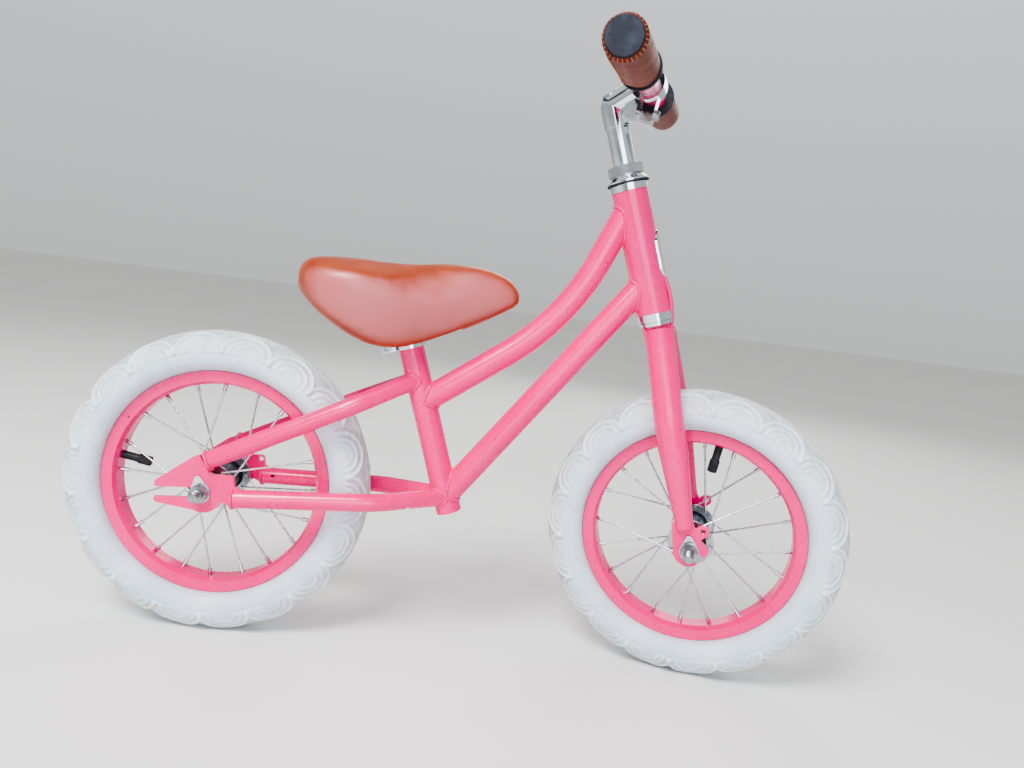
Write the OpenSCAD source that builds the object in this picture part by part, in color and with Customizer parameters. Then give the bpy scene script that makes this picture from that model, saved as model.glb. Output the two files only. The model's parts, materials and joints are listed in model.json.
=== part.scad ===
// Child's balance bike: welded steel frame, 12 inch spoked wheels, threaded headset.
// X forward, Y to the rider's left, Z up; millimetres.
// Origin: on the ground, in the frame's middle plane, halfway between the two axles.

/* [Wheels] */
// Distance between the axles with the steering straight
wheelbase = 486; // [420:1:590]
// Outer diameter of the inflated tyre
tyre_d = 302; // [290:1:365]
// Width of the inflated tyre
tyre_w = 50; // [42:1:60]
// Thickness of the tyre wall
tyre_wall = 3.5; // [2.5:0.5:5]
// Outer diameter of the rim's side walls
rim_d = 224; // [210:1:230]
// Depth of the rim, from its edge to its inner face
rim_depth = 13.2; // [12:0.2:16]
// Overall width of the rim
rim_w = 26.8; // [23:0.2:32]
// Number of spokes in each wheel (a multiple of 4)
spoke_count = 20; // [16:4:28]
// Spoke wire diameter
spoke_d = 2; // [1.8:0.1:2.4]
// Diameter of the nipple
nipple_d = 4; // [3.6:0.1:4.6]

/* [Hubs] */
// Diameter of the hub's spoke flanges
flange_d = 45; // [40:1:54]
// Distance between the middles of the two flanges
flange_gap = 52; // [44:1:60]
// Diameter of the hub barrel
barrel_d = 27; // [25:1:32]
// Axle diameter
axle_d = 9.5; // [8:0.5:11.4]
// Clear width between the inner faces of the dropouts
dropout_gap = 94; // [88:1:112]
// Length of axle that stands out of each nut
axle_stub = 11; // [8:1:16]
// Diameter of a hub bearing ball
hub_ball_d = 4.8; // [4:0.1:5.6]

/* [Frame] */
// Outer diameter of the seat, top and down tubes
tube_d = 25.4; // [24.4:0.2:30.6]
// Wall of the seat, top and down tubes
tube_wall = 1.55; // [1.3:0.05:1.9]
// Outer diameter of the stays
stay_d = 17.5; // [14.5:0.5:21]
// Gap between the tyre and the stays or fork blades
tyre_clearance = 5; // [4:0.5:9]
// Lean of the steering axis from vertical, in degrees
head_lean = 19.5; // [16:0.5:22]
// Outer diameter of the head tube
head_d = 35; // [34:0.5:42]
// Length of the head tube
head_len = 122; // [102:1:147]
// Gap between the front tyre and the bottom of the head tube
head_above_tyre = 81; // [76:1:95]
// Lean of the seat tube from vertical, in degrees
seat_lean = 19.2; // [16:0.5:22]
// Length of the seat tube
seat_len = 179; // [165:1:215]
// Distance from the rear axle to the foot of the seat tube
rear_centre = 233.5; // [230:0.5:250]
// How far the foot of the seat tube is below the axles
foot_drop = 5; // [0:1:12]
// Slope of the straight part of the top tube, in degrees
top_tube_slope = 36.7; // [30:0.5:42]
// Slope of the top tube where it meets the head tube, in degrees
top_tube_rise = 68; // [60:0.5:72]
// Bend radius of the top tube
top_bend_r = 250; // [60:5:280]
// Thickness of the dropout and fork end plates
plate_t = 5; // [4:0.5:6]

/* [Steering] */
// How far the steering is turned at rest, in degrees (negative is to the right)
steer_turn = -17.4; // [-30:0.1:30]
// How far the front axle is behind the steering axis
fork_trail = 6; // [0:1:12]
// Steerer tube diameter
steerer_d = 25.4; // [24:0.2:26.4]
// Diameter of the stem quill and of the handlebar
quill_d = 22.2; // [20:0.2:22.4]
// Widest diameter of a fork blade
blade_d = 28.6; // [24:0.2:34]
// Diameter of the lower end of a fork blade
blade_tip_d = 18; // [15:0.5:21]
// Height of the handlebar above the top of the head tube, along the steering axis
bar_rise = 93.5; // [80:0.5:112]
// Distance from the steering axis forward to the handlebar
bar_reach = 37; // [32:1:44]
// Half of the handlebar's length, without the end plugs
bar_half = 177; // [150:1:212]
// Length of a grip
grip_len = 102; // [85:1:122]
// Outer diameter of a grip
grip_d = 37; // [32:1:44]

/* [Saddle] */
// Width of the saddle at its rear
saddle_w = 124; // [104:1:149]
// Length of the saddle
saddle_len = 212; // [200:1:254]
// Length of the seat post
post_len = 150; // [130:1:160]

/* [Hidden] */
$fn = 64;
// ---- clearances and small fixed sizes ----
slide_fit = 0.05;
cut = 1;
// a bent tube is two solids with this much between them, where its second leg starts
seam = 0.002;
wheel_r = tyre_d / 2;
tube_r = tube_d / 2;
seat_r = tube_r + 0.1;
stay_r = stay_d / 2;
head_r = head_d / 2;
quill_r = quill_d / 2;
steerer_r = steerer_d / 2;
axle_r = axle_d / 2;
plate_y = dropout_gap / 2 + plate_t / 2;
plate_out = dropout_gap / 2 + plate_t;
washer_t = 1.5;
nut_t = 8;
axle_half = plate_out + washer_t + nut_t + axle_stub;
cup_r = 15.1;
head_bore_r = cup_r;
// ---- reference points ----
rear_axle_at = [-wheelbase / 2, 0, wheel_r];
steer_foot = [wheelbase / 2 + fork_trail * cos(head_lean), 0,
              wheel_r + fork_trail * sin(head_lean)];
steer_dir = [-sin(head_lean), 0, cos(head_lean)];
head_low = wheel_r + head_above_tyre;
head_top = head_low + head_len;
seat_foot = [rear_axle_at[0] + rear_centre, 0, wheel_r - foot_drop];
seat_dir = [-sin(seat_lean), 0, cos(seat_lean)];
seat_top = seat_foot + seat_len * seat_dir;
// joints of the tubes, as heights along the seat tube and the steering axis
down_on_seat = 17;
stay_on_seat = 16;
top_on_seat = 116;
seat_stay_on_seat = 139;
down_on_head = head_low + 33;
top_on_head = head_top - 11;
bar_h = head_top + bar_rise;
lock_nut_low = head_top + 16;
lock_nut_top = lock_nut_low + 9;
stem_low = lock_nut_top + 37;
quill_foot = head_top - 52;
top_on_seat_at = seat_foot + top_on_seat * seat_dir;

// ---- colours ----
paint = "#F0608F";
chrome = "#C9CED3";
steel = "#9A9EA3";
tan_leather = "#B5552F";
brown_leather = "#7E4526";
black = "#26282C";
white_rubber = "#E4E6E4";

// ---- vectors ----
function unit(v) = v / norm(v);
function at_steer(x, y, h) = steer_foot + x * [cos(head_lean), 0, sin(head_lean)]
                             + y * [0, 1, 0] + h * steer_dir;
function on_seat(t) = seat_foot + t * seat_dir;
function on_head(h) = steer_foot + h * steer_dir;
// where the line from p along d meets the line that runs back from q along e (both in XZ)
function meet(p, d, q, e) = let (den = d[0] * e[2] - d[2] * e[0])
    p + d * (((q[0] - p[0]) * e[2] - (q[2] - p[2]) * e[0]) / den);

// points of an arc in a plane, from one angle to the other
function arc(x, y, r, from, to) =
    [for (i = [0 : 12]) let (a = from + (to - from) * i / 12) [x + r * cos(a), y + r * sin(a)]];

// ---- placing ----
module in_rear() {
    translate(rear_axle_at) children();
}

module in_head() {
    translate(steer_foot) rotate([0, -head_lean, 0]) children();
}

module in_steering() {
    in_head() rotate([0, 0, steer_turn]) children();
}

module in_front() {
    in_steering() translate([-fork_trail, 0, 0]) children();
}

module in_seat() {
    translate(seat_foot) rotate([0, -seat_lean, 0]) children();
}

module along_y() {
    rotate([-90, 0, 0]) children();
}

module both_ends() {
    children();
    mirror([0, 0, 1]) children();
}

module side(s) {
    if (s > 0) children();
    else mirror([0, 1, 0]) children();
}

// ---- solids used by many pieces ----
module rod(a, b, r1, r2) {
    d = b - a;
    translate(a)
        rotate([0, acos(d[2] / norm(d)), atan2(d[1], d[0])])
            cylinder(h = norm(d), r1 = r1, r2 = r2);
}

module ring(r_out, r_in, low, high) {
    difference() {
        translate([0, 0, low]) cylinder(h = high - low, r = r_out);
        translate([0, 0, low - cut]) cylinder(h = high - low + 2 * cut, r = r_in);
    }
}

module hex(af, low, high) {
    translate([0, 0, low]) cylinder(h = high - low, r = af / 2 / cos(30), $fn = 6);
}

// puts its children on the bend of a path a - c - b: x points out from the centre of the bend,
// y along the first leg and z across the bend
module on_bend(a, c, b, bend_r) {
    d1 = unit(c - a);
    d2 = unit(b - c);
    turn = acos(d1 * d2);
    n = unit(cross(d1, d2));
    x = cross(d1, n);
    s = c - bend_r * tan(turn / 2) * d1;
    translate(s - bend_r * x)
        rotate([atan2(d1[2], n[2]), -asin(x[2]), atan2(x[1], x[0])]) children();
}

// a round bar that follows the path; its second leg may taper from r to tip_r
module bent_rod(leg_1, leg_2, turn, bend_r, r, tip_r, taper_from, taper_to) {
    translate([bend_r, 0, 0]) rotate([90, 0, 0]) cylinder(h = leg_1, r = r);
    rotate_extrude(angle = turn) translate([bend_r, 0]) circle(r);
    rotate([0, 0, turn]) translate([bend_r, seam, 0]) rotate([-90, 0, 0])
        rotate_extrude() polygon([[0, 0], [r, 0], [r, taper_from], [tip_r, taper_to],
                                  [tip_r, leg_2], [0, leg_2]]);
}

// the same bar as a tube, open at both ends
module bent_tube(a, c, b, bend_max, r, tip_r, wall, taper) {
    turn = acos(unit(c - a) * unit(b - c));
    bend_r = min(bend_max, 0.95 * min(norm(c - a), norm(b - c)) / tan(turn / 2));
    back = bend_r * tan(turn / 2);
    leg_1 = norm(c - a) - back;
    leg_2 = norm(b - c) - back;
    from = taper * leg_2;
    to = leg_2 - 8;
    on_bend(a, c, b, bend_r) difference() {
        bent_rod(leg_1, leg_2, turn, bend_r, r, tip_r, from, to);
        bent_rod(leg_1 + cut, leg_2 + cut, turn, bend_r, r - wall, tip_r - wall, from, to);
    }
}

// ---- frame ----
module head_solid(r) {
    in_head() translate([0, 0, head_low]) cylinder(h = head_len, r = r);
}

module seat_solid(r) {
    in_seat() cylinder(h = seat_len, r = r);
}

module head_tube() {
    color(paint)
    in_head() ring(head_r, head_bore_r, head_low, head_top);
}

module top_tube() {
    start_dir = [cos(top_tube_slope), 0, sin(top_tube_slope)];
    end_dir = [cos(top_tube_rise), 0, sin(top_tube_rise)];
    corner = meet(top_on_seat_at, start_dir, on_head(top_on_head), end_dir);
    color(paint)
    difference() {
        bent_tube(top_on_seat_at, corner, on_head(top_on_head), top_bend_r, tube_r, tube_r,
                  tube_wall, 0.5);
        seat_solid(seat_r);
        in_head() translate([0, 0, head_low]) cylinder(h = head_len + tube_d, r = head_r);
        in_head() translate([-head_d, -head_d, head_top]) cube([2 * head_d, 2 * head_d, tube_d]);
    }
}

module down_tube() {
    a = on_seat(down_on_seat);
    b = on_head(down_on_head);
    color(paint)
    difference() {
        rod(a, b, tube_r, tube_r);
        rod(a - unit(b - a), b + unit(b - a), tube_r - tube_wall, tube_r - tube_wall);
        seat_solid(seat_r);
        head_solid(head_r);
    }
}

module seat_tube() {
    color(paint)
    in_seat() ring(seat_r, quill_r + slide_fit, 0, seat_len);
}

// the right or left stay is mirrored from a left one; both are cut at the middle plane
module stay(start, knee, finish) {
    difference() {
        bent_tube(start, knee, finish, 4 * stay_d, stay_r, stay_r, tube_wall, 0.5);
        seat_solid(seat_r);
        translate([-wheelbase, -2 * wheelbase + 0.1, 0])
            cube([2 * wheelbase, 2 * wheelbase, 4 * wheel_r]);
        in_rear() dropout_solid();
    }
}

stay_knee_y = tyre_w / 2 + tyre_clearance + stay_r;
stay_meet_y = 3.8;

module chain_stay() {
    start = rear_axle_at + [29, plate_y, -3];
    knee = rear_axle_at + [wheel_r + 10, stay_knee_y, 5];
    difference() {
        stay(start, knee, on_seat(stay_on_seat) + [0, stay_meet_y, 0]);
        rod(on_seat(down_on_seat), on_head(down_on_head), tube_r, tube_r);
        for (dx = [42, rear_centre - 40])
            translate(rear_axle_at + [dx, 0, 0]) along_y() cylinder(h = stay_knee_y + 3, r = 2);
    }
}

module seat_stay() {
    start = rear_axle_at + [4, plate_y, 31];
    finish = on_seat(seat_stay_on_seat) + [0, stay_meet_y, 0];
    reach = finish - start;
    knee_y = stay_knee_y;
    knee = [start[0] + 0.7 * reach[0], knee_y, start[2] + 0.7 * reach[2]];
    stay(start, knee, finish);
}

module chain_stay_left() {
    color(paint) chain_stay();
}

module chain_stay_right() {
    color(paint) mirror([0, 1, 0]) chain_stay();
}

module seat_stay_left() {
    color(paint) seat_stay();
}

module seat_stay_right() {
    color(paint) mirror([0, 1, 0]) seat_stay();
}

// outline of the rear dropout, in the wheel's plane, with the axle at the origin
module dropout_outline() {
    bottom = arc(2, 0, 19, -115, -20);
    stay_end = [[31, -12], [35, -11], [35, 7], [31, 9]];
    lobe = arc(26, 15, 4, 0, 100);
    shoulder = [[10, 18.6], [7, 20], [-4, 36], [-10, 33.5]];
    upper_jaw = arc(-39.5, 5, 4.2, 125, 215);
    lower_jaw = arc(-40, -10.3, 3.3, 150, 260);
    polygon(concat(bottom, stay_end, lobe, shoulder, upper_jaw, lower_jaw));
}

module dropout_solid() {
    translate([0, dropout_gap / 2 + plate_t, 0])
        rotate([90, 0, 0]) linear_extrude(height = plate_t) dropout_outline();
}

tab_reach = 14;
tab_r = 2.8;
rear_tab_angle = 104;
front_tab_angle = 80;

module tab_hole(angle) {
    rotate([0, -angle, 0]) translate([tab_reach, plate_out + cut, 0]) rotate([90, 0, 0])
        cylinder(h = plate_t + 2 * cut, r = tab_r + 0.2);
}

// the slot is a little narrower than the round seat that the axle sits in
module axle_slot(angle, length) {
    half = axle_r + 0.15;
    along_y() translate([0, 0, dropout_gap / 2 - cut])
        cylinder(h = plate_t + 2 * cut, r = axle_r + 0.35);
    rotate([0, -angle, 0]) translate([0, dropout_gap / 2 - cut, -half])
        cube([length, plate_t + 2 * cut, 2 * half]);
}

module rear_dropout() {
    in_rear() difference() {
        dropout_solid();
        axle_slot(184.4, 60);
        tab_hole(rear_tab_angle);
    }
}

module rear_dropout_left() {
    color(paint)
    difference() {
        rear_dropout();
        in_rear() translate([26.5, plate_out + cut, 15]) rotate([90, 0, 0])
            cylinder(h = plate_t + 2 * cut, r = 2.5);
    }
}

module rear_dropout_right() {
    color(paint) mirror([0, 1, 0]) rear_dropout();
}

module head_badge() {
    badge_h = 50;
    badge_r = 13;
    mid = (head_low + head_top) / 2 - 6;
    color(chrome)
    in_head() intersection() {
        ring(head_r + 1.6, head_r, mid - badge_h, mid + badge_h);
        translate([0, 0, mid]) rotate([90, 0, 90]) linear_extrude(height = 2 * head_r) hull() {
            translate([0, badge_h / 2 - badge_r]) circle(badge_r);
            translate([0, badge_r - badge_h / 2]) circle(badge_r);
        }
    }
}

collar_low = seat_len - 8;
collar_high = seat_len + 1.5;
collar_r = seat_r + 3;
ear_x = -collar_r - 7.5;
ear_gap = 3;
ear_t = 4;
clamp_bolt_r = 2.5;

module seat_clamp() {
    mid = (collar_low + collar_high) / 2;
    color(chrome)
    in_seat() difference() {
        union() {
            translate([0, 0, collar_low]) cylinder(h = collar_high - collar_low, r = collar_r);
            translate([ear_x - 5, -ear_gap / 2 - ear_t, collar_low])
                cube([-ear_x, 2 * ear_t + ear_gap, collar_high - collar_low]);
        }
        translate([0, 0, collar_low - cut]) cylinder(h = seat_len - collar_low + cut, r = seat_r);
        translate([0, 0, seat_len - cut])
            cylinder(h = collar_high - seat_len + 2 * cut, r = quill_r + 0.2);
        translate([ear_x - 5 - cut, -ear_gap / 2, collar_low - cut])
            cube([-ear_x, ear_gap, collar_high - collar_low + 2 * cut]);
        translate([ear_x, 0, mid]) along_y() translate([0, 0, -2 * ear_t])
            cylinder(h = 4 * ear_t, r = clamp_bolt_r + 0.2);
    }
}

module seat_clamp_bolt() {
    mid = (collar_low + collar_high) / 2;
    outer = ear_gap / 2 + ear_t;
    color(steel)
    in_seat() translate([ear_x, 0, mid]) along_y() {
        translate([0, 0, -outer]) cylinder(h = 2 * outer, r = clamp_bolt_r);
        difference() {
            translate([0, 0, -outer - 5]) cylinder(h = 5, r = 4.4);
            hex(4, -outer - 6, -outer - 2);
        }
        hex(8, outer, outer + 4);
        translate([0, 0, outer + 4]) cylinder(h = 2, r = clamp_bolt_r);
    }
}

// ---- headset ----
race_pitch_r = 15.4;
headset_ball_r = 2;
upper_cup_h = 6.5;
lower_cup_h = 8;

module headset_cup(cup_h) {
    difference() {
        union() {
            cylinder(h = cup_h, r = head_r + 0.6);
            translate([0, 0, -9]) cylinder(h = 9 + cut, r = cup_r);
        }
        translate([0, 0, -9 - cut]) cylinder(h = cup_h + 9 + 3 * cut, r = steerer_r + 0.4);
        translate([0, 0, cup_h - 4.5]) cylinder(h = 5, r = race_pitch_r + headset_ball_r + 0.05);
    }
}

module headset_upper_cup() {
    color(chrome)
    in_head() translate([0, 0, head_top]) headset_cup(upper_cup_h);
}

module headset_lower_cup() {
    color(chrome)
    in_head() translate([0, 0, head_low]) mirror([0, 0, 1]) headset_cup(lower_cup_h);
}

module crown_race() {
    low = head_low - lower_cup_h - 4;
    color(chrome)
    in_steering() difference() {
        union() {
            translate([0, 0, low]) cylinder(h = 3.5, r = head_r - 0.4);
            translate([0, 0, low + 3.5]) cylinder(h = 3.2, r = 13.3);
        }
        translate([0, 0, low - cut]) cylinder(h = 12, r = steerer_r);
    }
}

// the loose balls ride with the steering, between the cups and their races
module headset_balls() {
    heights = [head_low - lower_cup_h + 2.45, head_top + upper_cup_h - 2.45];
    color(steel)
    in_steering()
    for (h = heights, i = [0 : 15])
        rotate([0, 0, i * 22.5]) translate([race_pitch_r, 0, h])
            sphere(r = headset_ball_r, $fn = 24);
}

module headset_top_race() {
    low = head_top + upper_cup_h;
    color(chrome)
    in_steering() difference() {
        union() {
            translate([0, 0, low + 2.3]) cylinder(h = 1.7, r = 20);
            translate([0, 0, low + 4]) cylinder(h = 3.5, r1 = 20, r2 = 16.8);
            translate([0, 0, low - 1.5]) cylinder(h = 4, r = 13.3);
            translate([0, 0, low + 0.6]) cylinder(h = 2, r = 17);
        }
        translate([0, 0, low - 2]) cylinder(h = 12, r = steerer_r);
    }
}

module headset_seal() {
    low = head_top + upper_cup_h;
    color(black)
    in_steering() ring(20.6, 17.02, low + 0.6, low + 2.2);
}

module headset_washer() {
    color(steel)
    in_steering() ring(16.2, steerer_r, lock_nut_low - 2, lock_nut_low);
}

module headset_lock_nut() {
    color(chrome)
    in_steering() difference() {
        hex(30, lock_nut_low, lock_nut_top);
        translate([0, 0, lock_nut_low - cut])
            cylinder(h = lock_nut_top - lock_nut_low - 1, r = steerer_r);
        translate([0, 0, lock_nut_low]) cylinder(h = 12, r = quill_r + 0.3);
    }
}

// ---- fork ----
crown_r = 14.6;
crown_top = head_low - lower_cup_h - 4;
crown_foot = head_low - 49;
steerer_top = lock_nut_top - 2.5;

module fork_steerer() {
    color(paint)
    in_steering() difference() {
        union() {
            translate([0, 0, crown_foot]) cylinder(h = steerer_top - crown_foot, r = steerer_r);
            translate([0, 0, crown_foot]) cylinder(h = crown_top - crown_foot, r = crown_r);
        }
        translate([0, 0, crown_foot - cut])
            cylinder(h = steerer_top - crown_foot + 2 * cut, r = quill_r + slide_fit);
    }
}

blade_r = blade_d / 2;
tip_r = blade_tip_d / 2;
blade_wall = 1.8;
blade_knee_h = wheel_r - 20;
blade_foot_h = 24;
blade_knee_y = tyre_w / 2 + tyre_clearance - 0.5 + blade_r;

module fork_blade() {
    top = [3, 13, crown_top - 7];
    knee = [-1.5, blade_knee_y, blade_knee_h];
    foot = [-fork_trail, plate_y, blade_foot_h];
    in_steering() difference() {
        bent_tube(top, knee, foot, 60, blade_r, tip_r, blade_wall, 0.2);
        translate([0, 0, crown_foot - 60])
            cylinder(h = crown_top - crown_foot + 60 + cut, r = crown_r);
        translate([-60, -60, crown_top - 2]) cube([120, 120, 60]);
        translate([-60, -120 + 0.1, 0]) cube([120, 120, 2 * head_low]);
        translate([-fork_trail, 0, 0]) fork_end_solid();
    }
}

module fork_blade_left() {
    color(paint) fork_blade();
}

module fork_blade_right() {
    color(paint) mirror_steering() fork_blade();
}

// mirror in the plane of the turned front wheel
module mirror_steering() {
    in_steering() mirror([0, 1, 0]) rotate([0, 0, -steer_turn]) rotate([0, head_lean, 0])
        translate(-steer_foot) children();
}

eyelet_at = [17, 18];
module fork_end_outline() {
    hull() {
        translate([-1, 0]) circle(r = 15, $fn = 48);
        translate([-10.5, 20]) square([18, 12]);
    }
    hull() {
        translate(eyelet_at) circle(r = 5.5, $fn = 32);
        translate([5, 13]) circle(r = 6, $fn = 32);
    }
    hull() {
        translate([3, 0]) circle(r = 13, $fn = 48);
        translate([15, -1]) circle(r = 3.5, $fn = 32);
    }
}

module fork_end_solid() {
    translate([0, dropout_gap / 2 + plate_t, 0])
        rotate([90, 0, 0]) linear_extrude(height = plate_t) fork_end_outline();
}

module fork_end() {
    in_front() difference() {
        fork_end_solid();
        axle_slot(-52, 30);
        tab_hole(front_tab_angle);
        translate([eyelet_at[0], plate_out + cut, eyelet_at[1]]) rotate([90, 0, 0])
            cylinder(h = plate_t + 2 * cut, r = 2.75);
    }
}

module fork_end_left() {
    color(paint) fork_end();
}

module fork_end_right() {
    color(paint) mirror_steering() fork_end();
}

// ---- wheels (axle along Y through the origin) ----
rim_r = rim_d / 2;
rim_in_r = rim_r - rim_depth;
rim_half = rim_w / 2;
flange_r = flange_d / 2;
spoke_ring_r = flange_r - 3.5;
per_flange = spoke_count / 2;
spoke_step = 360 / per_flange;
nipple_len = 12;
spoke_bed = rim_in_r + 2;
flange_half_t = 1.25;
inner_face = flange_half_t + spoke_d / 2 + 0.1;
outer_face = inner_face + 1.7;
valve_reach = 27;
tube_ring_r = wheel_r - tyre_w / 2;

rim_side = [[rim_in_r, rim_half - 5.5], [rim_in_r + 2.8, rim_half - 0.6], [rim_r, rim_half],
            [rim_r, rim_half - 1.9], [rim_in_r + 5.8, rim_half - 2.4],
            [rim_in_r + 4.9, rim_half - 5], [spoke_bed, rim_half - 6.6]];

// a closed outline from the points of its upper half
function both_halves(half) =
    concat(half, [for (i = [len(half) - 1 : -1 : 0]) [half[i][0], -half[i][1]]]);

// runs its children once per spoke, with local z along the spoke from hub to rim
// side is +1 or -1 for the two flanges; every second spoke leans the other way
function spoke_hole_angle(s, i) = i * spoke_step + (s > 0 ? 0 : spoke_step / 2);
function spoke_rim_angle(s, i) = spoke_hole_angle(s, i) + (i % 2 == 0 ? spoke_step : -spoke_step);
function spoke_hub_point(s, i) = let (a = spoke_hole_angle(s, i))
    [spoke_ring_r * cos(a), spoke_ring_r * sin(a),
     s * (flange_gap / 2 + (i % 2 == 0 ? outer_face : -inner_face))];
function spoke_rim_point(s, i) = let (a = spoke_rim_angle(s, i))
    [spoke_bed * cos(a), spoke_bed * sin(a), s * 1.5];

module nipple_hole(s, i) {
    a = spoke_hub_point(s, i);
    b = spoke_rim_point(s, i);
    d = unit(b - a);
    rod(b - 6 * d, b + 6 * d, nipple_d / 2 + 0.15, nipple_d / 2 + 0.15);
}

module rim(valve_angle) {
    color(paint)
    along_y() difference() {
        rotate_extrude($fn = 120) polygon(both_halves(rim_side));
        for (s = [-1, 1], i = [0 : per_flange - 1]) nipple_hole(s, i);
        rotate([0, 0, valve_angle]) translate([rim_in_r - 3, 0, 0]) rotate([0, 90, 0])
            cylinder(h = 12, r = 4.3);
    }
}

// one spoke with its bent head through the flange and its nipple at the rim
module spoke(s, i) {
    a = spoke_hub_point(s, i);
    b = spoke_rim_point(s, i);
    d = unit(b - a);
    out = [0, 0, (i % 2 == 0 ? 1 : -1) * s];
    r = spoke_d / 2;
    far = a - ((i % 2 == 0 ? outer_face : inner_face) + flange_half_t + 0.1) * out;
    rod(a - 0.7 * r * d, b - 5 * d, r, r);
    rod(a + 0.7 * r * out, far, r + 0.05, r + 0.05);
    rod(far, far - out, spoke_d * 0.9, spoke_d * 0.75);
    rod(b - (nipple_len - 2.4) * d, b + d, nipple_d / 2, nipple_d / 2);
    rod(b + 0.8 * d, b + 2.4 * d, nipple_d * 0.72, nipple_d * 0.72);
}

module spokes() {
    color(chrome)
    along_y() for (s = [-1, 1], i = [0 : per_flange - 1]) spoke(s, i);
}

// outline of the tyre's outside (inset 0) and of the hollows inside it, from crown to rim
shoulder_y = tyre_w / 2 - 13.5;
function tyre_half(inset, foot_r, foot_y) = concat(
    arc(tube_ring_r, 0, tyre_w / 2 - inset, 0, 90),
    arc(tube_ring_r, shoulder_y, 13.5 - inset, 97.5, 180),
    [[tube_ring_r - 13.5 + inset, foot_y], [foot_r, foot_y]]);
bead_y = rim_half - 2.6;
bead_r = rim_in_r + 6.4;
channel_y = rim_half - 6;

module tyre() {
    color(white_rubber)
    along_y() rotate_extrude($fn = 120) difference() {
        polygon(both_halves(tyre_half(0, bead_r, bead_y)));
        polygon(both_halves(tyre_half(tyre_wall, bead_r - cut, channel_y)));
    }
}

module inner_tube(valve_angle) {
    skin = tyre_wall + 0.2;
    foot_r = bead_r - 0.5;
    color(black)
    along_y() {
        rotate_extrude($fn = 96) difference() {
            polygon(both_halves(tyre_half(skin, foot_r, channel_y - 0.2)));
            polygon(both_halves(tyre_half(skin + 1.2, foot_r + 1.2, channel_y - 1.4)));
        }
        rotate([0, 0, valve_angle]) translate([rim_in_r - valve_reach, 0, 0]) rotate([0, 90, 0])
            cylinder(h = foot_r - rim_in_r + valve_reach + 0.6, r = 4);
    }
}

hub_end = flange_gap / 2 + 7;
bearing_y = hub_end - 3.2;
ball_ring_r = 8.6;
race_r = ball_ring_r + hub_ball_d / 2 + 0.05;

module hub_shell() {
    color(steel)
    along_y() difference() {
        union() {
            cylinder(h = 2 * hub_end, r = barrel_d / 2, center = true);
            both_ends() translate([0, 0, flange_gap / 2 - flange_half_t])
                cylinder(h = 2 * flange_half_t, r = flange_r);
        }
        cylinder(h = 3 * hub_end, r = axle_r + 1.8, center = true);
        both_ends() translate([0, 0, hub_end - 6]) cylinder(h = 7, r = race_r);
        for (s = [-1, 1], i = [0 : per_flange - 1])
            rotate([0, 0, spoke_hole_angle(s, i)])
                translate([spoke_ring_r, 0, s * flange_gap / 2 - 3])
                    cylinder(h = 6, r = spoke_d / 2 + 0.25);
    }
}

module hub_balls() {
    color(steel)
    along_y() both_ends() for (i = [0 : 8])
        rotate([0, 0, i * 40]) translate([ball_ring_r, 0, bearing_y])
            sphere(r = hub_ball_d / 2, $fn = 24);
}

module axle() {
    color(steel)
    along_y() {
        cylinder(h = 2 * axle_half - 2, r = axle_r, center = true);
        both_ends() translate([0, 0, axle_half - 1])
            cylinder(h = 1, r1 = axle_r, r2 = axle_r - 1);
    }
}

// the cones and their lock nuts, screwed on the axle inside the dropouts
module cones() {
    neck_r = ball_ring_r - hub_ball_d / 2 - 0.05;
    color(steel)
    along_y() both_ends() difference() {
        union() {
            translate([0, 0, bearing_y - 2.5]) cylinder(h = 6, r = neck_r);
            translate([0, 0, bearing_y + 3.4]) cylinder(h = 4, r = 9.4);
            hex(15, bearing_y + 7.4, bearing_y + 10.4);
            hex(17, bearing_y + 10.4, dropout_gap / 2);
        }
        translate([0, 0, bearing_y - 4]) cylinder(h = dropout_gap, r = axle_r);
    }
}

// drop-shaped washers whose tab sits in the hole above the axle
module tab_washers(angle) {
    color(chrome)
    for (s = [-1, 1]) side(s) {
        rotate([0, -angle, 0]) difference() {
            union() {
                translate([0, plate_out + washer_t, 0]) rotate([90, 0, 0])
                    linear_extrude(height = washer_t) hull() {
                        circle(r = 9.5, $fn = 48);
                        translate([tab_reach, 0]) circle(r = tab_r, $fn = 32);
                    }
                translate([tab_reach, plate_out + 0.5, 0]) rotate([90, 0, 0])
                    cylinder(h = 4, r = tab_r - 0.2);
            }
            along_y() cylinder(h = 2 * plate_out, r = axle_r);
        }
    }
}

module axle_nuts() {
    inner = plate_out + washer_t;
    color(steel)
    along_y() both_ends() difference() {
        union() {
            translate([0, 0, inner]) cylinder(h = 1.6, r = 8.9);
            hex(15, inner + 1.6, inner + nut_t);
        }
        translate([0, 0, inner - cut]) cylinder(h = nut_t + 2 * cut, r = axle_r);
    }
}

rear_valve_angle = 189;
front_valve_angle = -63;

module rear_tyre() {
    in_rear() tyre();
}

module rear_inner_tube() {
    in_rear() inner_tube(rear_valve_angle);
}

module rear_rim() {
    in_rear() rim(rear_valve_angle);
}

module rear_spokes() {
    in_rear() spokes();
}

module rear_hub_shell() {
    in_rear() hub_shell();
}

module rear_hub_balls() {
    in_rear() hub_balls();
}

module rear_axle() {
    in_rear() axle();
}

module rear_cones() {
    in_rear() cones();
}

module rear_tab_washers() {
    in_rear() tab_washers(rear_tab_angle);
}

module rear_axle_nuts() {
    in_rear() axle_nuts();
}

module front_tyre() {
    in_front() tyre();
}

module front_inner_tube() {
    in_front() inner_tube(front_valve_angle);
}

module front_rim() {
    in_front() rim(front_valve_angle);
}

module front_spokes() {
    in_front() spokes();
}

module front_hub_shell() {
    in_front() hub_shell();
}

module front_hub_balls() {
    in_front() hub_balls();
}

module front_axle() {
    in_front() axle();
}

module front_cones() {
    in_front() cones();
}

module front_tab_washers() {
    in_front() tab_washers(front_tab_angle);
}

module front_axle_nuts() {
    in_front() axle_nuts();
}

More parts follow.
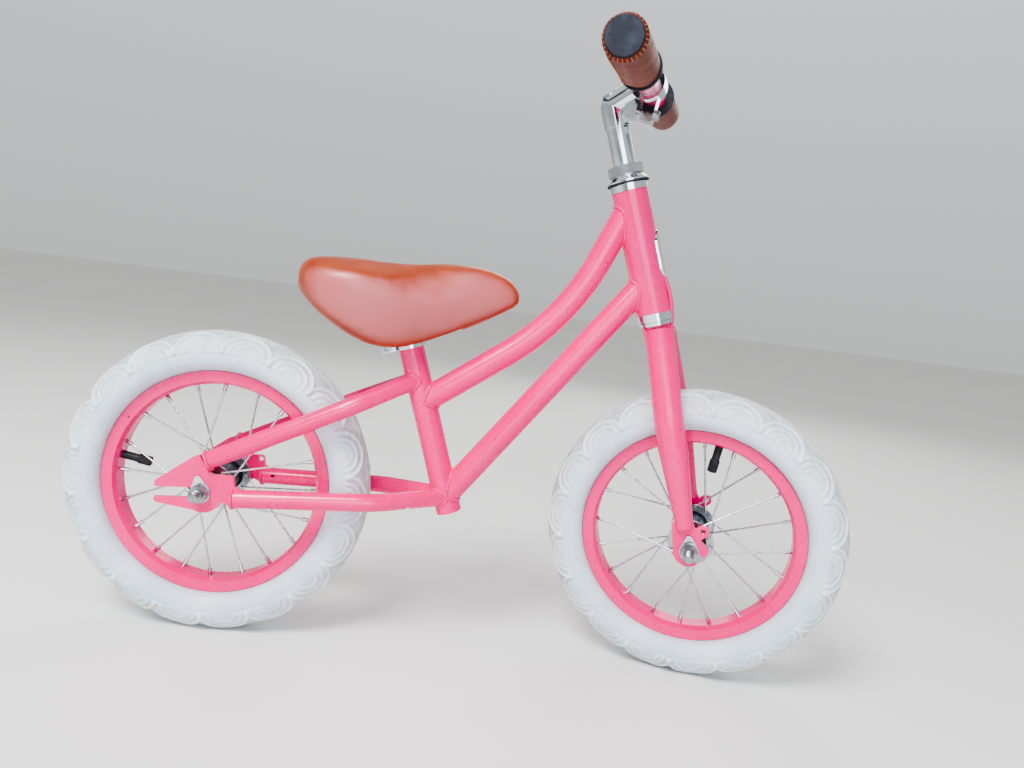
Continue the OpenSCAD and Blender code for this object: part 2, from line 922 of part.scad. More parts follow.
// ---- stem ----
neck_r = 12.4;
clamp_r = quill_r + 5.9;
clamp_half = 18;
jaw_lean = 29;
jaw_len = 34;
jaw_t = 11.5;
jaw_slot = 5;
jaw_half = 11;
elbow_h = bar_h - 11;

module jaw_block(x, w, t) {
    // a block in the clamp's own frame: -z runs down the jaws, x across them
    translate([x, -w / 2, -jaw_len]) cube([t, w, jaw_len]);
}

module at_clamp() {
    translate([bar_reach, 0, bar_h]) rotate([0, jaw_lean, 0]) children();
}

module stem() {
    color(chrome)
    in_steering() difference() {
        union() {
            translate([0, 0, quill_foot]) cylinder(h = stem_low - quill_foot + 1, r = quill_r);
            translate([0, 0, stem_low]) cylinder(h = elbow_h - stem_low, r = neck_r);
            translate([0, 0, elbow_h]) sphere(r = neck_r);
            rod([0, 0, elbow_h], [bar_reach - 6, 0, bar_h - 2], neck_r, neck_r + 0.6);
            translate([0, 0, elbow_h]) cylinder(h = neck_r - 1.4, r = 8.6);
            at_clamp() along_y() cylinder(h = 2 * clamp_half, r = clamp_r, center = true);
            at_clamp() jaw_block(jaw_slot / 2, 2 * jaw_half, jaw_t);
            at_clamp() jaw_block(-jaw_slot / 2 - jaw_t, 2 * jaw_half, jaw_t);
        }
        at_clamp() along_y() cylinder(h = 3 * clamp_half, r = quill_r + slide_fit, center = true);
        at_clamp() translate([-jaw_slot / 2, -clamp_half - cut, -jaw_len - cut])
            cube([jaw_slot, 2 * (clamp_half + cut), jaw_len + cut]);
        at_clamp() translate([-30, 0, -jaw_len + 8]) rotate([0, 90, 0]) cylinder(h = 60, r = 3.2);
        at_clamp() translate([-jaw_slot / 2 - jaw_t - 6, 0, -jaw_len + 8]) rotate([0, 90, 0])
            cylinder(h = 6, r = 6.3);
        translate([0, 0, quill_foot - cut]) cylinder(h = 200, r = 4.3);
        translate([0, 0, elbow_h + neck_r - 9]) cylinder(h = 20, r = 6.8);
    }
}

module stem_bolt() {
    head_low_z = elbow_h + neck_r - 9;
    color(steel)
    in_steering() difference() {
        union() {
            translate([0, 0, quill_foot - 22]) cylinder(h = head_low_z - quill_foot + 22, r = 4);
            translate([0, 0, head_low_z]) cylinder(h = 7.5, r = 6.5);
        }
        hex(6, head_low_z + 3, head_low_z + 10);
    }
}

module stem_wedge() {
    color(steel)
    in_steering() difference() {
        translate([0, 0, quill_foot - 24]) cylinder(h = 23.5, r = quill_r);
        translate([0, 0, quill_foot - 25]) cylinder(h = 26, r = 4);
    }
}

module bar_clamp_bolt() {
    back = -jaw_slot / 2 - jaw_t;
    front = jaw_slot / 2 + jaw_t;
    color(steel)
    in_steering() at_clamp() translate([0, 0, -jaw_len + 8]) rotate([0, 90, 0]) {
        translate([0, 0, back - 2]) cylinder(h = front - back + 4, r = 3);
        difference() {
            translate([0, 0, front]) cylinder(h = 5, r = 4.9);
            hex(5, front + 2, front + 6);
        }
        hex(10, back - 4.5, back);
    }
}

// ---- handlebar ----
ring_t = 4;
ring_r = grip_d / 2 + 0.8;
plug_t = 3;

module on_bar() {
    in_steering() translate([bar_reach, 0, bar_h]) along_y() children();
}

module handlebar() {
    color(paint)
    on_bar() difference() {
        cylinder(h = 2 * bar_half, r = quill_r, center = true);
        cylinder(h = 2 * bar_half + 2 * cut, r = quill_r - 1.8, center = true);
    }
}

module grip() {
    ring(grip_d / 2, quill_r, bar_half - grip_len, bar_half);
}

module grip_left() {
    color(brown_leather) on_bar() grip();
}

module grip_right() {
    color(brown_leather) on_bar() mirror([0, 0, 1]) grip();
}

module grip_rings() {
    color(black)
    on_bar() both_ends()
        ring(ring_r, quill_r, bar_half - grip_len - ring_t, bar_half - grip_len);
}

module grip_plugs() {
    color(black)
    on_bar() both_ends() {
        translate([0, 0, bar_half]) cylinder(h = plug_t - 1, r = grip_d / 2 - 3.2);
        translate([0, 0, bar_half + plug_t - 1]) cylinder(h = 1, r1 = grip_d / 2 - 3.2, r2 = grip_d / 2 - 4);
        translate([0, 0, bar_half - 14]) cylinder(h = 14, r = quill_r - 1.8);
    }
}

// ---- saddle (its frame stands on the top of the seat tube, level) ----
saddle_r = saddle_w / 2;
saddle_back = -0.52 * saddle_len;
nose_x = saddle_back + saddle_len;
pan_z = 24;
pan_t = 5;
pan_half = 30;

module in_saddle() {
    translate(seat_top) children();
}

module saddle_side() {
    rotate([90, 0, 0]) linear_extrude(height = saddle_w + 10, center = true) hull() {
        translate([saddle_back + 28, 43]) circle(r = 28, $fn = 32);
        translate([saddle_back + 90, 32]) circle(r = 34, $fn = 32);
        translate([nose_x - 21, 61]) circle(r = 21, $fn = 32);
    }
}

module saddle_plan() {
    linear_extrude(height = 100) hull() {
        translate([saddle_back + saddle_r, 0]) circle(r = saddle_r, $fn = 48);
        translate([nose_x - 17, 0]) circle(r = 17, $fn = 32);
    }
}

// the pan is wide behind the post and narrows towards the nose
module pan_plan(gap) {
    x = [-59 - gap, -20, 49 + gap];
    y = [pan_half + gap, pan_half + gap, pan_half - 15 + gap];
    polygon([[x[0], -y[0]], [x[1], -y[1]], [x[2], -y[2]], [x[2], y[2]], [x[1], y[1]], [x[0], y[0]]]);
}

module saddle_cover() {
    color(tan_leather)
    in_saddle() difference() {
        intersection() {
            saddle_side();
            translate([0, 0, -10]) saddle_plan();
        }
        translate([0, 0, -20]) linear_extrude(height = 20 + pan_z + pan_t + 0.1) pan_plan(1);
    }
}

module saddle_base() {
    color(black)
    in_saddle() difference() {
        translate([0, 0, pan_z]) linear_extrude(height = pan_t) pan_plan(0);
        for (x = [-18, 14], y = [-14, 14]) translate([x - 6, y, pan_z - cut])
            cylinder(h = pan_t + 2 * cut, r = 3);
    }
}

module saddle_bolts() {
    color(steel)
    in_saddle() for (x = [-18, 14], y = [-14, 14]) translate([x - 6, y, 0]) {
        translate([0, 0, pan_z - 3]) cylinder(h = pan_t + 3, r = 3);
        hex(9, pan_z - 7, pan_z - 3);
    }
}

// the post, with the plate that carries the saddle welded on its top
module seat_post() {
    color(chrome)
    difference() {
        union() {
            in_seat() translate([0, 0, seat_len + pan_z - post_len])
                cylinder(h = post_len - 1, r = quill_r);
            in_saddle() translate([-34, -21, pan_z - 3]) cube([52, 42, 3]);
        }
        in_seat() translate([0, 0, seat_len + pan_z - post_len - cut])
            cylinder(h = post_len - 8, r = quill_r - 2);
        in_saddle() for (x = [-18, 14], y = [-14, 14]) translate([x - 6, y, pan_z - 4])
            cylinder(h = 5, r = 3);
        in_saddle() translate([-60, -50, pan_z]) cube([120, 100, 30]);
    }
}

head_tube();
top_tube();
down_tube();
seat_tube();
chain_stay_left();
chain_stay_right();
seat_stay_left();
seat_stay_right();
rear_dropout_left();
rear_dropout_right();
head_badge();
seat_clamp();
seat_clamp_bolt();
headset_upper_cup();
headset_lower_cup();
rear_axle();
rear_cones();
rear_tab_washers();
rear_axle_nuts();
rear_tyre();
rear_inner_tube();
rear_rim();
rear_spokes();
rear_hub_shell();
rear_hub_balls();
fork_steerer();
fork_blade_left();
fork_blade_right();
fork_end_left();
fork_end_right();
crown_race();
headset_balls();
headset_top_race();
headset_seal();
headset_washer();
headset_lock_nut();
front_axle();
front_cones();
front_tab_washers();
front_axle_nuts();
front_tyre();
front_inner_tube();
front_rim();
front_spokes();
front_hub_shell();
front_hub_balls();
stem();
stem_bolt();
stem_wedge();
bar_clamp_bolt();
handlebar();
grip_left();
grip_right();
grip_rings();
grip_plugs();
saddle_cover();
saddle_base();
saddle_bolts();
seat_post();
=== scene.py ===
"""A child's balance bike with a painted steel frame, spoked wheels and a padded saddle.

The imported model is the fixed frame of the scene. Its hard parts keep their shape and get their
finishes here. The tyres, the saddle cover and the grips are shaped here in full detail, and weld
beads, stitches, valve caps and axle threads are added.
"""

import json
import logging
import math
from dataclasses import dataclass
from enum import Enum
from typing import Callable, Iterable, Sequence

import bmesh
import bpy
import numpy as np
from mathutils import Matrix, Vector


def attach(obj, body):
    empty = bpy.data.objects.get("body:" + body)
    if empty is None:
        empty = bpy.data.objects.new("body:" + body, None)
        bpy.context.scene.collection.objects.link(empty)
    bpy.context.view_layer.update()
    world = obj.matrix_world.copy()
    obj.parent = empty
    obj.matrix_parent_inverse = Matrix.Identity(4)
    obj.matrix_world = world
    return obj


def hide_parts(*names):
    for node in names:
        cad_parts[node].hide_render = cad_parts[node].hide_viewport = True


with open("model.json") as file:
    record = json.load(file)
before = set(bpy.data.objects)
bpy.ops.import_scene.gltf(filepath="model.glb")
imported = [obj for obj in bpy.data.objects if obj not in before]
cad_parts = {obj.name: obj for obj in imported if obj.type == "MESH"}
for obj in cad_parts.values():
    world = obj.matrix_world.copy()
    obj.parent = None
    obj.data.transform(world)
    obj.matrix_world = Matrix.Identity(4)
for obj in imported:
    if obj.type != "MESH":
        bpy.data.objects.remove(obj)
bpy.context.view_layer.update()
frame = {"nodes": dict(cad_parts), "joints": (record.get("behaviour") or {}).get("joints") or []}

LOG = logging.getLogger("balance_bike")
MM = 0.001
UP = Vector((0.0, 0.0, 1.0))


class Body(str, Enum):
    """The moving bodies of the bike."""

    FRAME = "frame"
    REAR_WHEEL = "rear_wheel"
    FORK = "fork"
    FRONT_WHEEL = "front_wheel"
    STEM = "stem"
    HANDLEBAR = "handlebar"
    SADDLE = "saddle"


# ---------------------------------------------------------------- places and axes


def joint(name: str) -> dict:
    """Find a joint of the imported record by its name.

    Args:
        name: the joint's name.

    Returns:
        The joint's own entry.
    """
    return next(j for j in frame["joints"] if j["name"] == name)


@dataclass(frozen=True)
class Place:
    """A local frame in the model: where it is and its three axes."""

    origin: Vector
    x: Vector
    y: Vector
    z: Vector

    def matrix(self) -> Matrix:
        """Return the matrix from this local frame to the model."""
        turn = Matrix((self.x, self.y, self.z)).transposed().to_4x4()
        return Matrix.Translation(self.origin) @ turn

    def at(self, x: float, y: float, z: float) -> Vector:
        """Return the model point of a local point, all in metres."""
        return self.origin + x * self.x + y * self.y + z * self.z

    def moved(self, x: float, y: float, z: float) -> "Place":
        """Return the same axes with the origin moved along them."""
        return Place(self.at(x, y, z), self.x, self.y, self.z)


def place_about(axle: Vector, up: Vector, origin: Vector) -> Place:
    """Make a local frame with y along an axle and z close to an up direction.

    Args:
        axle: the direction that y takes.
        up: the direction that z takes, as far as it can.
        origin: the frame's origin.

    Returns:
        The local frame.
    """
    y = axle.normalized()
    x = y.cross(up).normalized()
    return Place(origin, x, y, x.cross(y))


REAR_AXLE = Vector(joint("rear_wheel_spin")["pos_m"])
FRONT_AXLE = Vector(joint("front_wheel_spin")["pos_m"])
STEER_AXIS = Vector(joint("steer")["axis"])
STEER_POINT = Vector(joint("steer")["pos_m"])
AXLE_TURNED = Vector(joint("front_wheel_spin")["axis"])
BAR_POINT = Vector(joint("bar_roll")["pos_m"])
SEAT_AXIS = Vector(joint("saddle_height")["axis"])
SEAT_FOOT = REAR_AXLE + Vector((233.5, 0.0, -5.0)) * MM
REAR_PLACE = place_about(Vector((0.0, 1.0, 0.0)), UP, REAR_AXLE)
FRONT_PLACE = place_about(AXLE_TURNED, STEER_AXIS, FRONT_AXLE)
BAR_PLACE = place_about(AXLE_TURNED, STEER_AXIS, BAR_POINT)


# ---------------------------------------------------------------- colours and nodes


def linear(hex_code: str) -> tuple[float, float, float, float]:
    """Turn an sRGB hex colour into the linear colour that shaders use.

    Args:
        hex_code: a colour such as "#FF8800".

    Returns:
        Red, green, blue and alpha, linear.
    """
    parts = [int(hex_code[i : i + 2], 16) / 255 for i in (1, 3, 5)]
    lin = [p / 12.92 if p <= 0.04045 else ((p + 0.055) / 1.055) ** 2.4 for p in parts]
    return (lin[0], lin[1], lin[2], 1.0)


def add_node(tree: bpy.types.NodeTree, kind: str, inputs: dict | None = None, **settings) -> bpy.types.Node:
    """Add a shader node with its settings, input values and links.

    Args:
        tree: the material's node tree.
        kind: the node's type name.
        inputs: a value or a linked output for each named input.
        **settings: properties of the node itself.

    Returns:
        The new node.
    """
    node = tree.nodes.new(kind)
    for name, value in settings.items():
        setattr(node, name, value)
    for key, value in (inputs or {}).items():
        if isinstance(value, bpy.types.NodeSocket):
            tree.links.new(value, node.inputs[key])
        else:
            node.inputs[key].default_value = value
    return node


def set_ramp(node: bpy.types.Node, stops: Sequence[tuple[float, tuple]]) -> None:
    """Give a colour ramp its stops.

    Args:
        node: the ramp.
        stops: positions with their linear colours, in order.
    """
    ramp = node.color_ramp
    while len(ramp.elements) < len(stops):
        ramp.elements.new(0.5)
    for element, (position, colour) in zip(ramp.elements, stops):
        element.position = position
        element.color = colour


def grey(value: float) -> tuple[float, float, float, float]:
    """Return a grey of one value."""
    return (value, value, value, 1.0)


class Surface:
    """A material under construction: its tree, its shader and the patterns it shares."""

    def __init__(self, name: str, place: Place | None = None) -> None:
        """Start a material.

        Args:
            name: the material's name.
            place: a local frame for its patterns, or None for the model's own.
        """
        self.material = bpy.data.materials.new(name)
        self.material.use_nodes = True
        self.tree = self.material.node_tree
        self.shader = self.tree.nodes["Principled BSDF"]
        coords = add_node(self.tree, "ShaderNodeTexCoord").outputs["Object"]
        if place is not None:
            turn = place.matrix().to_euler("XYZ")
            mapped = add_node(
                self.tree,
                "ShaderNodeMapping",
                {"Vector": coords, "Location": place.origin, "Rotation": turn},
                vector_type="TEXTURE",
            )
            coords = mapped.outputs["Vector"]
        self.coords = coords

    def add(self, kind: str, inputs: dict | None = None, **settings) -> bpy.types.Node:
        """Add a node to this material. The arguments are those of add_node."""
        return add_node(self.tree, kind, inputs, **settings)

    def noise(self, size_mm: float, detail: float = 2.0, stretch: Sequence[float] = (1, 1, 1)):
        """Add a noise whose features have a real size.

        Args:
            size_mm: the size of a feature.
            detail: how many finer layers it has.
            stretch: how many times longer the features are along each axis.

        Returns:
            The noise's value output.
        """
        coords = self.coords
        if tuple(stretch) != (1, 1, 1):
            scale = tuple(1 / s for s in stretch)
            coords = self.add("ShaderNodeMapping", {"Vector": coords, "Scale": scale}).outputs["Vector"]
        node = self.add(
            "ShaderNodeTexNoise",
            {"Vector": coords, "Scale": 1 / (size_mm * MM), "Detail": detail, "Roughness": 0.55},
        )
        return node.outputs["Fac"]

    def ramp(self, value, stops: Sequence[tuple[float, tuple]]):
        """Colour a value through a ramp and return the colour output."""
        node = self.add("ShaderNodeValToRGB", {"Fac": value})
        set_ramp(node, stops)
        return node.outputs["Color"]

    def math(self, operation: str, a, b=0.0, clamp: bool = False):
        """Return the result of one sum on two values."""
        node = self.add("ShaderNodeMath", operation=operation, use_clamp=clamp)
        for socket, value in zip(node.inputs, (a, b)):
            if isinstance(value, bpy.types.NodeSocket):
                self.tree.links.new(value, socket)
            else:
                socket.default_value = value
        return node.outputs["Value"]

    def mix(self, amount, first, second):
        """Mix two colours, each an output or a linear colour."""
        node = self.add("ShaderNodeMix", {"Factor": amount}, data_type="RGBA")
        for socket, value in zip((node.inputs[6], node.inputs[7]), (first, second)):
            if isinstance(value, bpy.types.NodeSocket):
                self.tree.links.new(value, socket)
            else:
                socket.default_value = value
        return node.outputs[2]

    def bump(self, height, depth_mm: float, strength: float = 1.0, below=None):
        """Add a bump of a real depth and return its normal.

        Args:
            height: the height pattern.
            depth_mm: the depth that a height of 1 stands for.
            strength: how much of it shows.
            below: the normal of a bump that this one lies on.

        Returns:
            The normal output.
        """
        node = self.add(
            "ShaderNodeBump", {"Height": height, "Distance": depth_mm * MM, "Strength": strength}
        )
        if below is not None:
            self.tree.links.new(below, node.inputs["Normal"])
        return node.outputs["Normal"]

    def set(self, **inputs) -> None:
        """Give the shader its inputs. Underscores in their names stand for spaces."""
        for key, value in inputs.items():
            socket = self.shader.inputs[key.replace("_", " ")]
            if isinstance(value, bpy.types.NodeSocket):
                self.tree.links.new(value, socket)
            else:
                socket.default_value = value


# ---------------------------------------------------------------- finishes


@dataclass(frozen=True)
class Enamel:
    """Stoved gloss enamel on steel: a deep even pink, slight orange peel, a few dark chips."""

    name: str = "stoved_enamel_pink"
    colour: str = "#F62C7B"
    light: str = "#FD3A87"
    chip: str = "#5A3038"
    peel_mm: float = 1.6
    chip_mm: float = 7.0

    def make(self) -> bpy.types.Material:
        """Build the material."""
        s = Surface(self.name)
        tone = s.ramp(s.noise(60, 3), [(0.3, linear(self.colour)), (0.75, linear(self.light))])
        spots = s.math("GREATER_THAN", s.noise(self.chip_mm, 5), 0.735)
        colour = s.mix(spots, tone, linear(self.chip))
        wear = s.ramp(s.noise(18, 6), [(0.35, grey(0.2)), (0.7, grey(0.36))])
        peel = s.bump(s.noise(self.peel_mm, 1), 0.02, 0.35)
        normal = s.bump(s.math("SUBTRACT", 1.0, spots), 0.15, 0.6, peel)
        s.set(Base_Color=colour, Roughness=wear, Normal=normal)
        s.set(Coat_Weight=0.4, Coat_Roughness=0.08)
        return s.material


@dataclass(frozen=True)
class Chrome:
    """Bright chrome plate on steel: a mirror with faint haze and fine rub marks."""

    name: str = "chrome_plate"
    colour: str = "#DDE2E6"
    haze_mm: float = 14.0

    def make(self) -> bpy.types.Material:
        """Build the material."""
        s = Surface(self.name)
        haze = s.ramp(s.noise(self.haze_mm, 6), [(0.35, grey(0.05)), (0.75, grey(0.2))])
        dull = s.ramp(s.noise(25, 4), [(0.3, linear(self.colour)), (0.8, linear("#C4CAD0"))])
        normal = s.bump(s.noise(9, 2), 0.05, 0.25)
        s.set(Base_Color=dull, Metallic=1.0, Roughness=haze, Normal=normal)
        return s.material


@dataclass(frozen=True)
class PlatedSteel:
    """Zinc-plated steel: a satin grey-white metal with cloudy patches and fine turning marks."""

    name: str
    colour: str
    cloud: str
    roughness: float
    grain_mm: float = 0.8

    def make(self) -> bpy.types.Material:
        """Build the material."""
        s = Surface(self.name)
        cloud = s.ramp(s.noise(5, 5), [(0.35, linear(self.colour)), (0.72, linear(self.cloud))])
        low = grey(self.roughness * 0.75)
        high = grey(min(1.0, self.roughness * 1.4))
        rough = s.ramp(s.noise(3, 4), [(0.3, low), (0.7, high)])
        normal = s.bump(s.noise(self.grain_mm, 3), 0.02, 0.4)
        s.set(Base_Color=cloud, Metallic=1.0, Roughness=rough, Normal=normal)
        return s.material


@dataclass(frozen=True)
class HubMetal:
    """A pressed hub: bright plated flanges on a dark painted barrel."""

    name: str
    place: Place
    bright: str = "#C3C9CE"
    dark: str = "#33373D"
    barrel_r_mm: float = 15.5

    def make(self) -> bpy.types.Material:
        """Build the material."""
        s = Surface(self.name, self.place)
        apart = s.add("ShaderNodeSeparateXYZ", {"Vector": s.coords})
        xx = s.math("MULTIPLY", apart.outputs["X"], apart.outputs["X"])
        zz = s.math("MULTIPLY", apart.outputs["Z"], apart.outputs["Z"])
        radius = s.math("SQRT", s.math("ADD", xx, zz))
        flange = s.math("GREATER_THAN", radius, self.barrel_r_mm * MM)
        cloud = s.ramp(s.noise(6, 4), [(0.3, linear(self.bright)), (0.75, linear("#98A0A8"))])
        colour = s.mix(flange, linear(self.dark), cloud)
        rough = s.math("ADD", s.math("MULTIPLY", s.noise(4, 4), 0.3), 0.14)
        metal = s.math("ADD", s.math("MULTIPLY", flange, 0.6), 0.4)
        normal = s.bump(s.noise(1.2, 3), 0.03, 0.4)
        s.set(Base_Color=colour, Metallic=metal, Roughness=rough, Normal=normal)
        return s.material


@dataclass(frozen=True)
class PaleRubber:
    """Moulded white tyre rubber: bluish white walls, a rubbed grey tread, ground-in specks."""

    name: str
    place: Place
    wall: str = "#D6E2EA"
    wall_shade: str = "#C3D1DB"
    tread: str = "#A9AEB0"
    rib_highlight: str = "#E4EEF3"
    soil: str = "#8E8D88"
    stain: str = "#C2A67C"
    tread_from_mm: float = 131.0
    blend_mm: float = 16.0
    ragged_mm: float = 30.0

    def make(self) -> bpy.types.Material:
        """Build the material."""
        s = Surface(self.name, self.place)
        apart = s.add("ShaderNodeSeparateXYZ", {"Vector": s.coords})
        xx = s.math("MULTIPLY", apart.outputs["X"], apart.outputs["X"])
        zz = s.math("MULTIPLY", apart.outputs["Z"], apart.outputs["Z"])
        radius = s.math("SQRT", s.math("ADD", xx, zz))
        # the tread band takes over from the wall gradually, with a ragged edge
        ragged = s.math("MULTIPLY", s.math("SUBTRACT", s.noise(12, 5), 0.5), self.ragged_mm * MM)
        past = s.math("SUBTRACT", s.math("ADD", radius, ragged), self.tread_from_mm * MM)
        edge = s.math("DIVIDE", past, self.blend_mm * MM, True)
        wall = s.ramp(s.noise(35, 4), [(0.3, linear(self.wall)), (0.75, linear(self.wall_shade))])
        tread = s.ramp(s.noise(8, 6), [(0.35, linear(self.tread)), (0.65, linear("#CDD2D4"))])
        colour = s.mix(s.math("MULTIPLY", edge, 0.85), wall, tread)
        # raised ribs are painted lighter: a painted highlight on the ribs, with the hollows left darker as
        # painted shade
        raised = s.add("ShaderNodeAttribute", attribute_name="raised").outputs["Fac"]
        colour = s.mix(s.math("MULTIPLY", raised, 0.8), colour, linear(self.rib_highlight))
        specks = s.ramp(s.noise(2.2, 4), [(0.66, grey(0.0)), (0.72, grey(1.0))])
        sparse = s.ramp(s.noise(22, 2), [(0.5, grey(0.0)), (0.62, grey(1.0))])
        dirty = s.math("MULTIPLY", s.math("MULTIPLY", specks, sparse), 0.8)
        colour = s.mix(dirty, colour, linear(self.soil))
        stains = s.ramp(s.noise(40, 5), [(0.7, grey(0.0)), (0.76, grey(0.7))])
        colour = s.mix(stains, colour, linear(self.stain))
        grain = s.bump(s.noise(0.9, 3), 0.05, 0.5)
        normal = s.bump(s.noise(7, 4), 0.12, 0.35, grain)
        rough = s.ramp(s.noise(10, 4), [(0.3, grey(0.42)), (0.7, grey(0.6))])
        s.set(Base_Color=colour, Roughness=rough, Normal=normal)
        return s.material


@dataclass(frozen=True)
class DarkPolymer:
    """Moulded black rubber or plastic: a soft dark skin with fine grain and dusty patches."""

    name: str
    colour: str
    dust: str
    roughness: float
    grain_mm: float = 0.7

    def make(self) -> bpy.types.Material:
        """Build the material."""
        s = Surface(self.name)
        dusty = s.ramp(s.noise(9, 6), [(0.45, linear(self.colour)), (0.8, linear(self.dust))])
        rough = s.math("ADD", s.math("MULTIPLY", s.noise(5, 3), 0.25), self.roughness - 0.12)
        normal = s.bump(s.noise(self.grain_mm, 3), 0.06, 0.6)
        s.set(Base_Color=dusty, Roughness=rough, Normal=normal)
        return s.material


@dataclass(frozen=True)
class Leather:
    """Coated leather: small pebbled cells, creases and a soft finish, with a painted sheen that lifts its
    upright sides pale.
    """

    name: str
    colour: str
    deep: str
    worn: str
    roughness: float
    cell_mm: float
    relief_mm: float
    coat: float
    sheen: float
    # side: the colour of the painted sheen on the upright sides
    side: str

    def make(self) -> bpy.types.Material:
        """Build the material."""
        s = Surface(self.name)
        tone = s.ramp(s.noise(45, 4), [(0.3, linear(self.deep)), (0.62, linear(self.colour))])
        rubbed = s.ramp(s.noise(16, 6), [(0.56, grey(0.0)), (0.8, grey(0.6))])
        colour = s.mix(rubbed, tone, linear(self.worn))
        # the upright sides get another, paler colour than the rubbed top: a painted sheen standing in for
        # light reflected off them
        facing = s.add("ShaderNodeNewGeometry").outputs["Normal"]
        across = s.add("ShaderNodeSeparateXYZ", {"Vector": facing}).outputs["Y"]
        upright = s.math("ADD", s.math("ABSOLUTE", across), s.math("MULTIPLY", s.noise(20, 3), 0.15))
        side_sheen_mask = s.ramp(upright, [(0.72, grey(0.0)), (0.98, grey(1.0))])
        colour = s.mix(side_sheen_mask, colour, linear(self.side))
        specks = s.ramp(s.noise(3.5, 3), [(0.74, grey(0.0)), (0.77, grey(0.8))])
        colour = s.mix(specks, colour, linear(self.deep))
        cells = s.add(
            "ShaderNodeTexVoronoi",
            {"Vector": s.coords, "Scale": 1 / (self.cell_mm * MM)},
            feature="DISTANCE_TO_EDGE",
        ).outputs["Distance"]
        pebble = s.bump(s.math("MINIMUM", cells, 0.12), self.relief_mm * 6, 0.5)
        normal = s.bump(s.noise(14, 4), 0.3, 0.3, pebble)
        rough = s.math("ADD", s.math("MULTIPLY", s.noise(8, 4), 0.16), self.roughness - 0.08)
        s.set(Base_Color=colour, Roughness=rough, Normal=normal)
        s.set(Coat_Weight=self.coat, Coat_Roughness=0.32, Sheen_Weight=self.sheen)
        s.set(Sheen_Roughness=0.45, Sheen_Tint=linear("#FFD9CC"))
        return s.material


@dataclass(frozen=True)
class Thread:
    """Waxed polyester thread: twisted strands with a dull sheen."""

    name: str
    colour: str
    shade: str

    def make(self) -> bpy.types.Material:
        """Build the material."""
        s = Surface(self.name)
        tone = s.ramp(s.noise(1.5, 3), [(0.35, linear(self.colour)), (0.7, linear(self.shade))])
        normal = s.bump(s.noise(0.5, 2), 0.1, 0.7)
        s.set(Base_Color=tone, Roughness=0.7, Normal=normal, Sheen_Weight=0.3)
        return s.material


@dataclass(frozen=True)
class Paper:
    """A plain pale studio floor: a matt sheet with barely any tone of its own."""

    name: str = "studio_paper"
    colour: str = "#E9E8E6"

    def make(self) -> bpy.types.Material:
        """Build the material."""
        s = Surface(self.name)
        tone = s.ramp(s.noise(900, 2), [(0.3, linear(self.colour)), (0.7, linear("#ECEBE9"))])
        s.set(Base_Color=tone, Roughness=0.85, Specular_IOR_Level=0.2)
        return s.material


# ---------------------------------------------------------------- mesh work


def select_only(obj: bpy.types.Object) -> None:
    """Make one object the only selected and the active one."""
    bpy.ops.object.select_all(action="DESELECT")
    obj.select_set(True)
    bpy.context.view_layer.objects.active = obj


def added(name: str) -> bpy.types.Object:
    """Name the primitive that was just added and return it."""
    obj = bpy.context.active_object
    obj.name = name
    obj.data.name = name
    return obj


def points_of(obj: bpy.types.Object) -> np.ndarray:
    """Read an object's vertices as an array of rows."""
    flat = np.empty(len(obj.data.vertices) * 3)
    obj.data.vertices.foreach_get("co", flat)
    return flat.reshape(-1, 3)


def set_points(obj: bpy.types.Object, points: np.ndarray) -> None:
    """Write an object's vertices back from an array of rows."""
    obj.data.vertices.foreach_set("co", np.ascontiguousarray(points).ravel())
    obj.data.update()


def put(obj: bpy.types.Object, matrix: Matrix) -> None:
    """Apply a matrix to the mesh itself, so that the object stays at the origin."""
    obj.data.transform(matrix)
    obj.data.update()


def face_out(obj: bpy.types.Object) -> None:
    """Merge doubled points and turn every face outwards."""
    select_only(obj)
    bpy.ops.object.mode_set(mode="EDIT")
    bpy.ops.mesh.select_all(action="SELECT")
    bpy.ops.mesh.remove_doubles(threshold=1e-6)
    bpy.ops.mesh.normals_make_consistent(inside=False)
    bpy.ops.object.mode_set(mode="OBJECT")


def smooth(obj: bpy.types.Object, degrees: float = 40.0) -> None:
    """Shade an object smooth, with sharp edges above an angle."""
    select_only(obj)
    bpy.ops.object.shade_smooth_by_angle(angle=math.radians(degrees))


def modify(obj: bpy.types.Object, kind: str, **settings) -> None:
    """Add a modifier with its settings and apply it at once.

    Args:
        obj: the object it shapes.
        kind: the modifier's type.
        **settings: its properties.
    """
    select_only(obj)
    modifier = obj.modifiers.new(kind.lower(), kind)
    for name, value in settings.items():
        setattr(modifier, name, value)
    bpy.ops.object.modifier_apply(modifier=modifier.name)


def finish_piece(
    obj: bpy.types.Object,
    material: bpy.types.Material,
    body: Body,
    stands_for: Iterable[str] = (),
) -> bpy.types.Object:
    """Dress a piece, let it ride on its body and hide the CAD parts that it stands for.

    Args:
        obj: the piece, with its place in its mesh.
        material: its finish.
        body: the body that it moves with.
        stands_for: the CAD nodes that it replaces.

    Returns:
        The piece.
    """
    obj.data.materials.clear()
    obj.data.materials.append(material)
    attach(obj, body.value)
    for node in stands_for:
        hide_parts(node)
    LOG.info("%s: %d faces on %s", obj.name, len(obj.data.polygons), body.value)
    return obj


def scatter(name: str, template: bpy.types.Object, matrices: Sequence[Matrix]) -> bpy.types.Object:
    """Copy one small shape many times into one mesh, and remove the shape itself.

    Args:
        name: the new object's name.
        template: the shape.
        matrices: where each copy goes.

    Returns:
        The object that holds all copies.
    """
    gathered = bmesh.new()
    for matrix in matrices:
        copy = template.data.copy()
        copy.transform(matrix)
        gathered.from_mesh(copy)
        bpy.data.meshes.remove(copy)
    mesh = bpy.data.meshes.new(name)
    gathered.to_mesh(mesh)
    gathered.free()
    bpy.data.objects.remove(template)
    obj = bpy.data.objects.new(name, mesh)
    bpy.context.scene.collection.objects.link(obj)
    return obj


